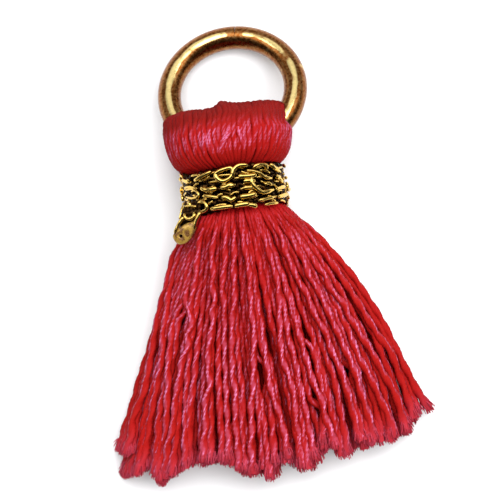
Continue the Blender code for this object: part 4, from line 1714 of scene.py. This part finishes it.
def add_lamp(lamp, brightness):
    data = bpy.data.lights.new(lamp.name, "AREA")
    data.shape = "RECTANGLE"
    data.size, data.size_y = lamp.size[0] * MM, lamp.size[1] * MM
    data.energy = lamp.power * brightness
    made = add_object(lamp.name, data)
    made.location = place(*lamp.where)
    towards = place(*lamp.aim) - made.location
    made.rotation_euler = towards.to_track_quat("-Z", "Y").to_euler()
    made.visible_glossy = lamp.mirrored


def add_floor(sizes):
    half = FLOOR_HALF
    corners = ((-half, -half, 0.0), (half, -half, 0.0), (half, half, 0.0), (-half, half, 0.0))
    mesh = bpy.data.meshes.new("floor")
    mesh.from_pydata(corners, [], [(0, 1, 2, 3)])
    finish, shader = plain_material("pale floor", sizes.floor, roughness=0.9)
    shader.inputs["Specular IOR Level"].default_value = 0.1
    mesh.materials.append(finish)
    add_object("floor", mesh)


def studio_sky():
    """Bright from overhead to half way down behind the ring, most in the middle, dark in front."""
    world = bpy.data.worlds.new("studio")
    world.use_nodes = True
    tree = Tree(world.node_tree)
    towards = tree.node("ShaderNodeSeparateXYZ", tree.add("ShaderNodeTexCoord", out=0))
    x, y, z = (Value(tree, socket) for socket in towards.outputs)
    lean = y.work("ARCTAN2", z)
    share = lean.smooth(-0.14, 0.18) * lean.smooth(0.85, 1.40, 1.0, 0.30)
    share = share * abs(x).smooth(0.75, 0.98, 1.0, 0.25)
    bright = tree.mix(abs(x).smooth(0.10, 0.50, 1.0, 0.0), grey(0.55), grey(1.20))
    background = world.node_tree.nodes["Background"]
    tree.feed(background.inputs["Color"], tree.mix(share, grey(0.05), bright))
    return world


def add_camera():
    right = Vector((1.0, 0.0, 0.0))
    up = Vector((0.0, math.sin(CAMERA_ELEVATION), math.cos(CAMERA_ELEVATION)))
    back = Vector((0.0, -math.cos(CAMERA_ELEVATION), math.sin(CAMERA_ELEVATION)))
    aim = Vector((0.0, 0.0, BUNDLE_Z)) + right * AIM_RIGHT - up * AIM_DOWN
    eye = aim + back * CAMERA_DISTANCE
    cos, sin = math.cos(CAMERA_ROLL), math.sin(CAMERA_ROLL)
    image_right = right * cos - up * sin
    image_up = right * sin + up * cos
    data = bpy.data.cameras.new("camera")
    data.lens, data.sensor_width = CAMERA_LENS, CAMERA_SENSOR
    data.clip_start, data.clip_end = NEAREST_SEEN, FURTHEST_SEEN
    camera = add_object("camera", data)
    turned = Matrix((image_right, image_up, back)).transposed().to_4x4()
    camera.matrix_world = Matrix.Translation(place(*eye)) @ turned
    return camera


class TASSEL_OT_stage(bpy.types.Operator):
    """Make the stage: a pale floor, soft lamps and the camera"""

    bl_idname = "tassel.stage"
    bl_label = "Stage"

    def execute(self, context):
        scene = context.scene
        sizes = scene.tassel_stage
        add_floor(sizes)
        for lamp in LAMPS:
            add_lamp(lamp, sizes.brightness)
        scene.world = studio_sky()
        scene.camera = add_camera()
        scene.view_settings.view_transform = "Standard"
        return {"FINISHED"}


# ---------------------------------------------------------------- add-on


class TASSEL_PT_panel(bpy.types.Panel):
    """Lists the tassel's pieces with their sizes and colours"""

    bl_idname = "TASSEL_PT_panel"
    bl_label = "Silk Tassel"
    bl_space_type = "VIEW_3D"
    bl_region_type = "UI"
    bl_category = "Tassel"

    def draw(self, context):
        for operator, group in (
            ("tassel.ring", "tassel_ring"),
            ("tassel.skirt", "tassel_silk"),
            ("tassel.head", None),
            ("tassel.binding", "tassel_braid"),
            ("tassel.stage", "tassel_stage"),
        ):
            box = self.layout.box()
            if group:
                sizes = getattr(context.scene, group)
                for name in sizes.__annotations__:
                    box.prop(sizes, name)
            box.operator(operator)


PROPERTIES = (
    ("tassel_ring", RingSizes),
    ("tassel_silk", SilkSizes),
    ("tassel_braid", BraidSizes),
    ("tassel_stage", StageSizes),
)
OPERATORS = (
    TASSEL_OT_ring,
    TASSEL_OT_skirt,
    TASSEL_OT_head,
    TASSEL_OT_binding,
    TASSEL_OT_stage,
)


def register():
    for name, group in PROPERTIES:
        bpy.utils.register_class(group)
        setattr(bpy.types.Scene, name, PointerProperty(type=group))
    for made in (*OPERATORS, TASSEL_PT_panel):
        bpy.utils.register_class(made)


def unregister():
    for made in (TASSEL_PT_panel, *reversed(OPERATORS)):
        bpy.utils.unregister_class(made)
    for name, group in reversed(PROPERTIES):
        delattr(bpy.types.Scene, name)
        bpy.utils.unregister_class(group)


def main():
    register()
    for step in (
        bpy.ops.tassel.stage,
        bpy.ops.tassel.ring,
        bpy.ops.tassel.skirt,
        bpy.ops.tassel.head,
        bpy.ops.tassel.binding,
    ):
        step()


if __name__ == "__main__":
    main()
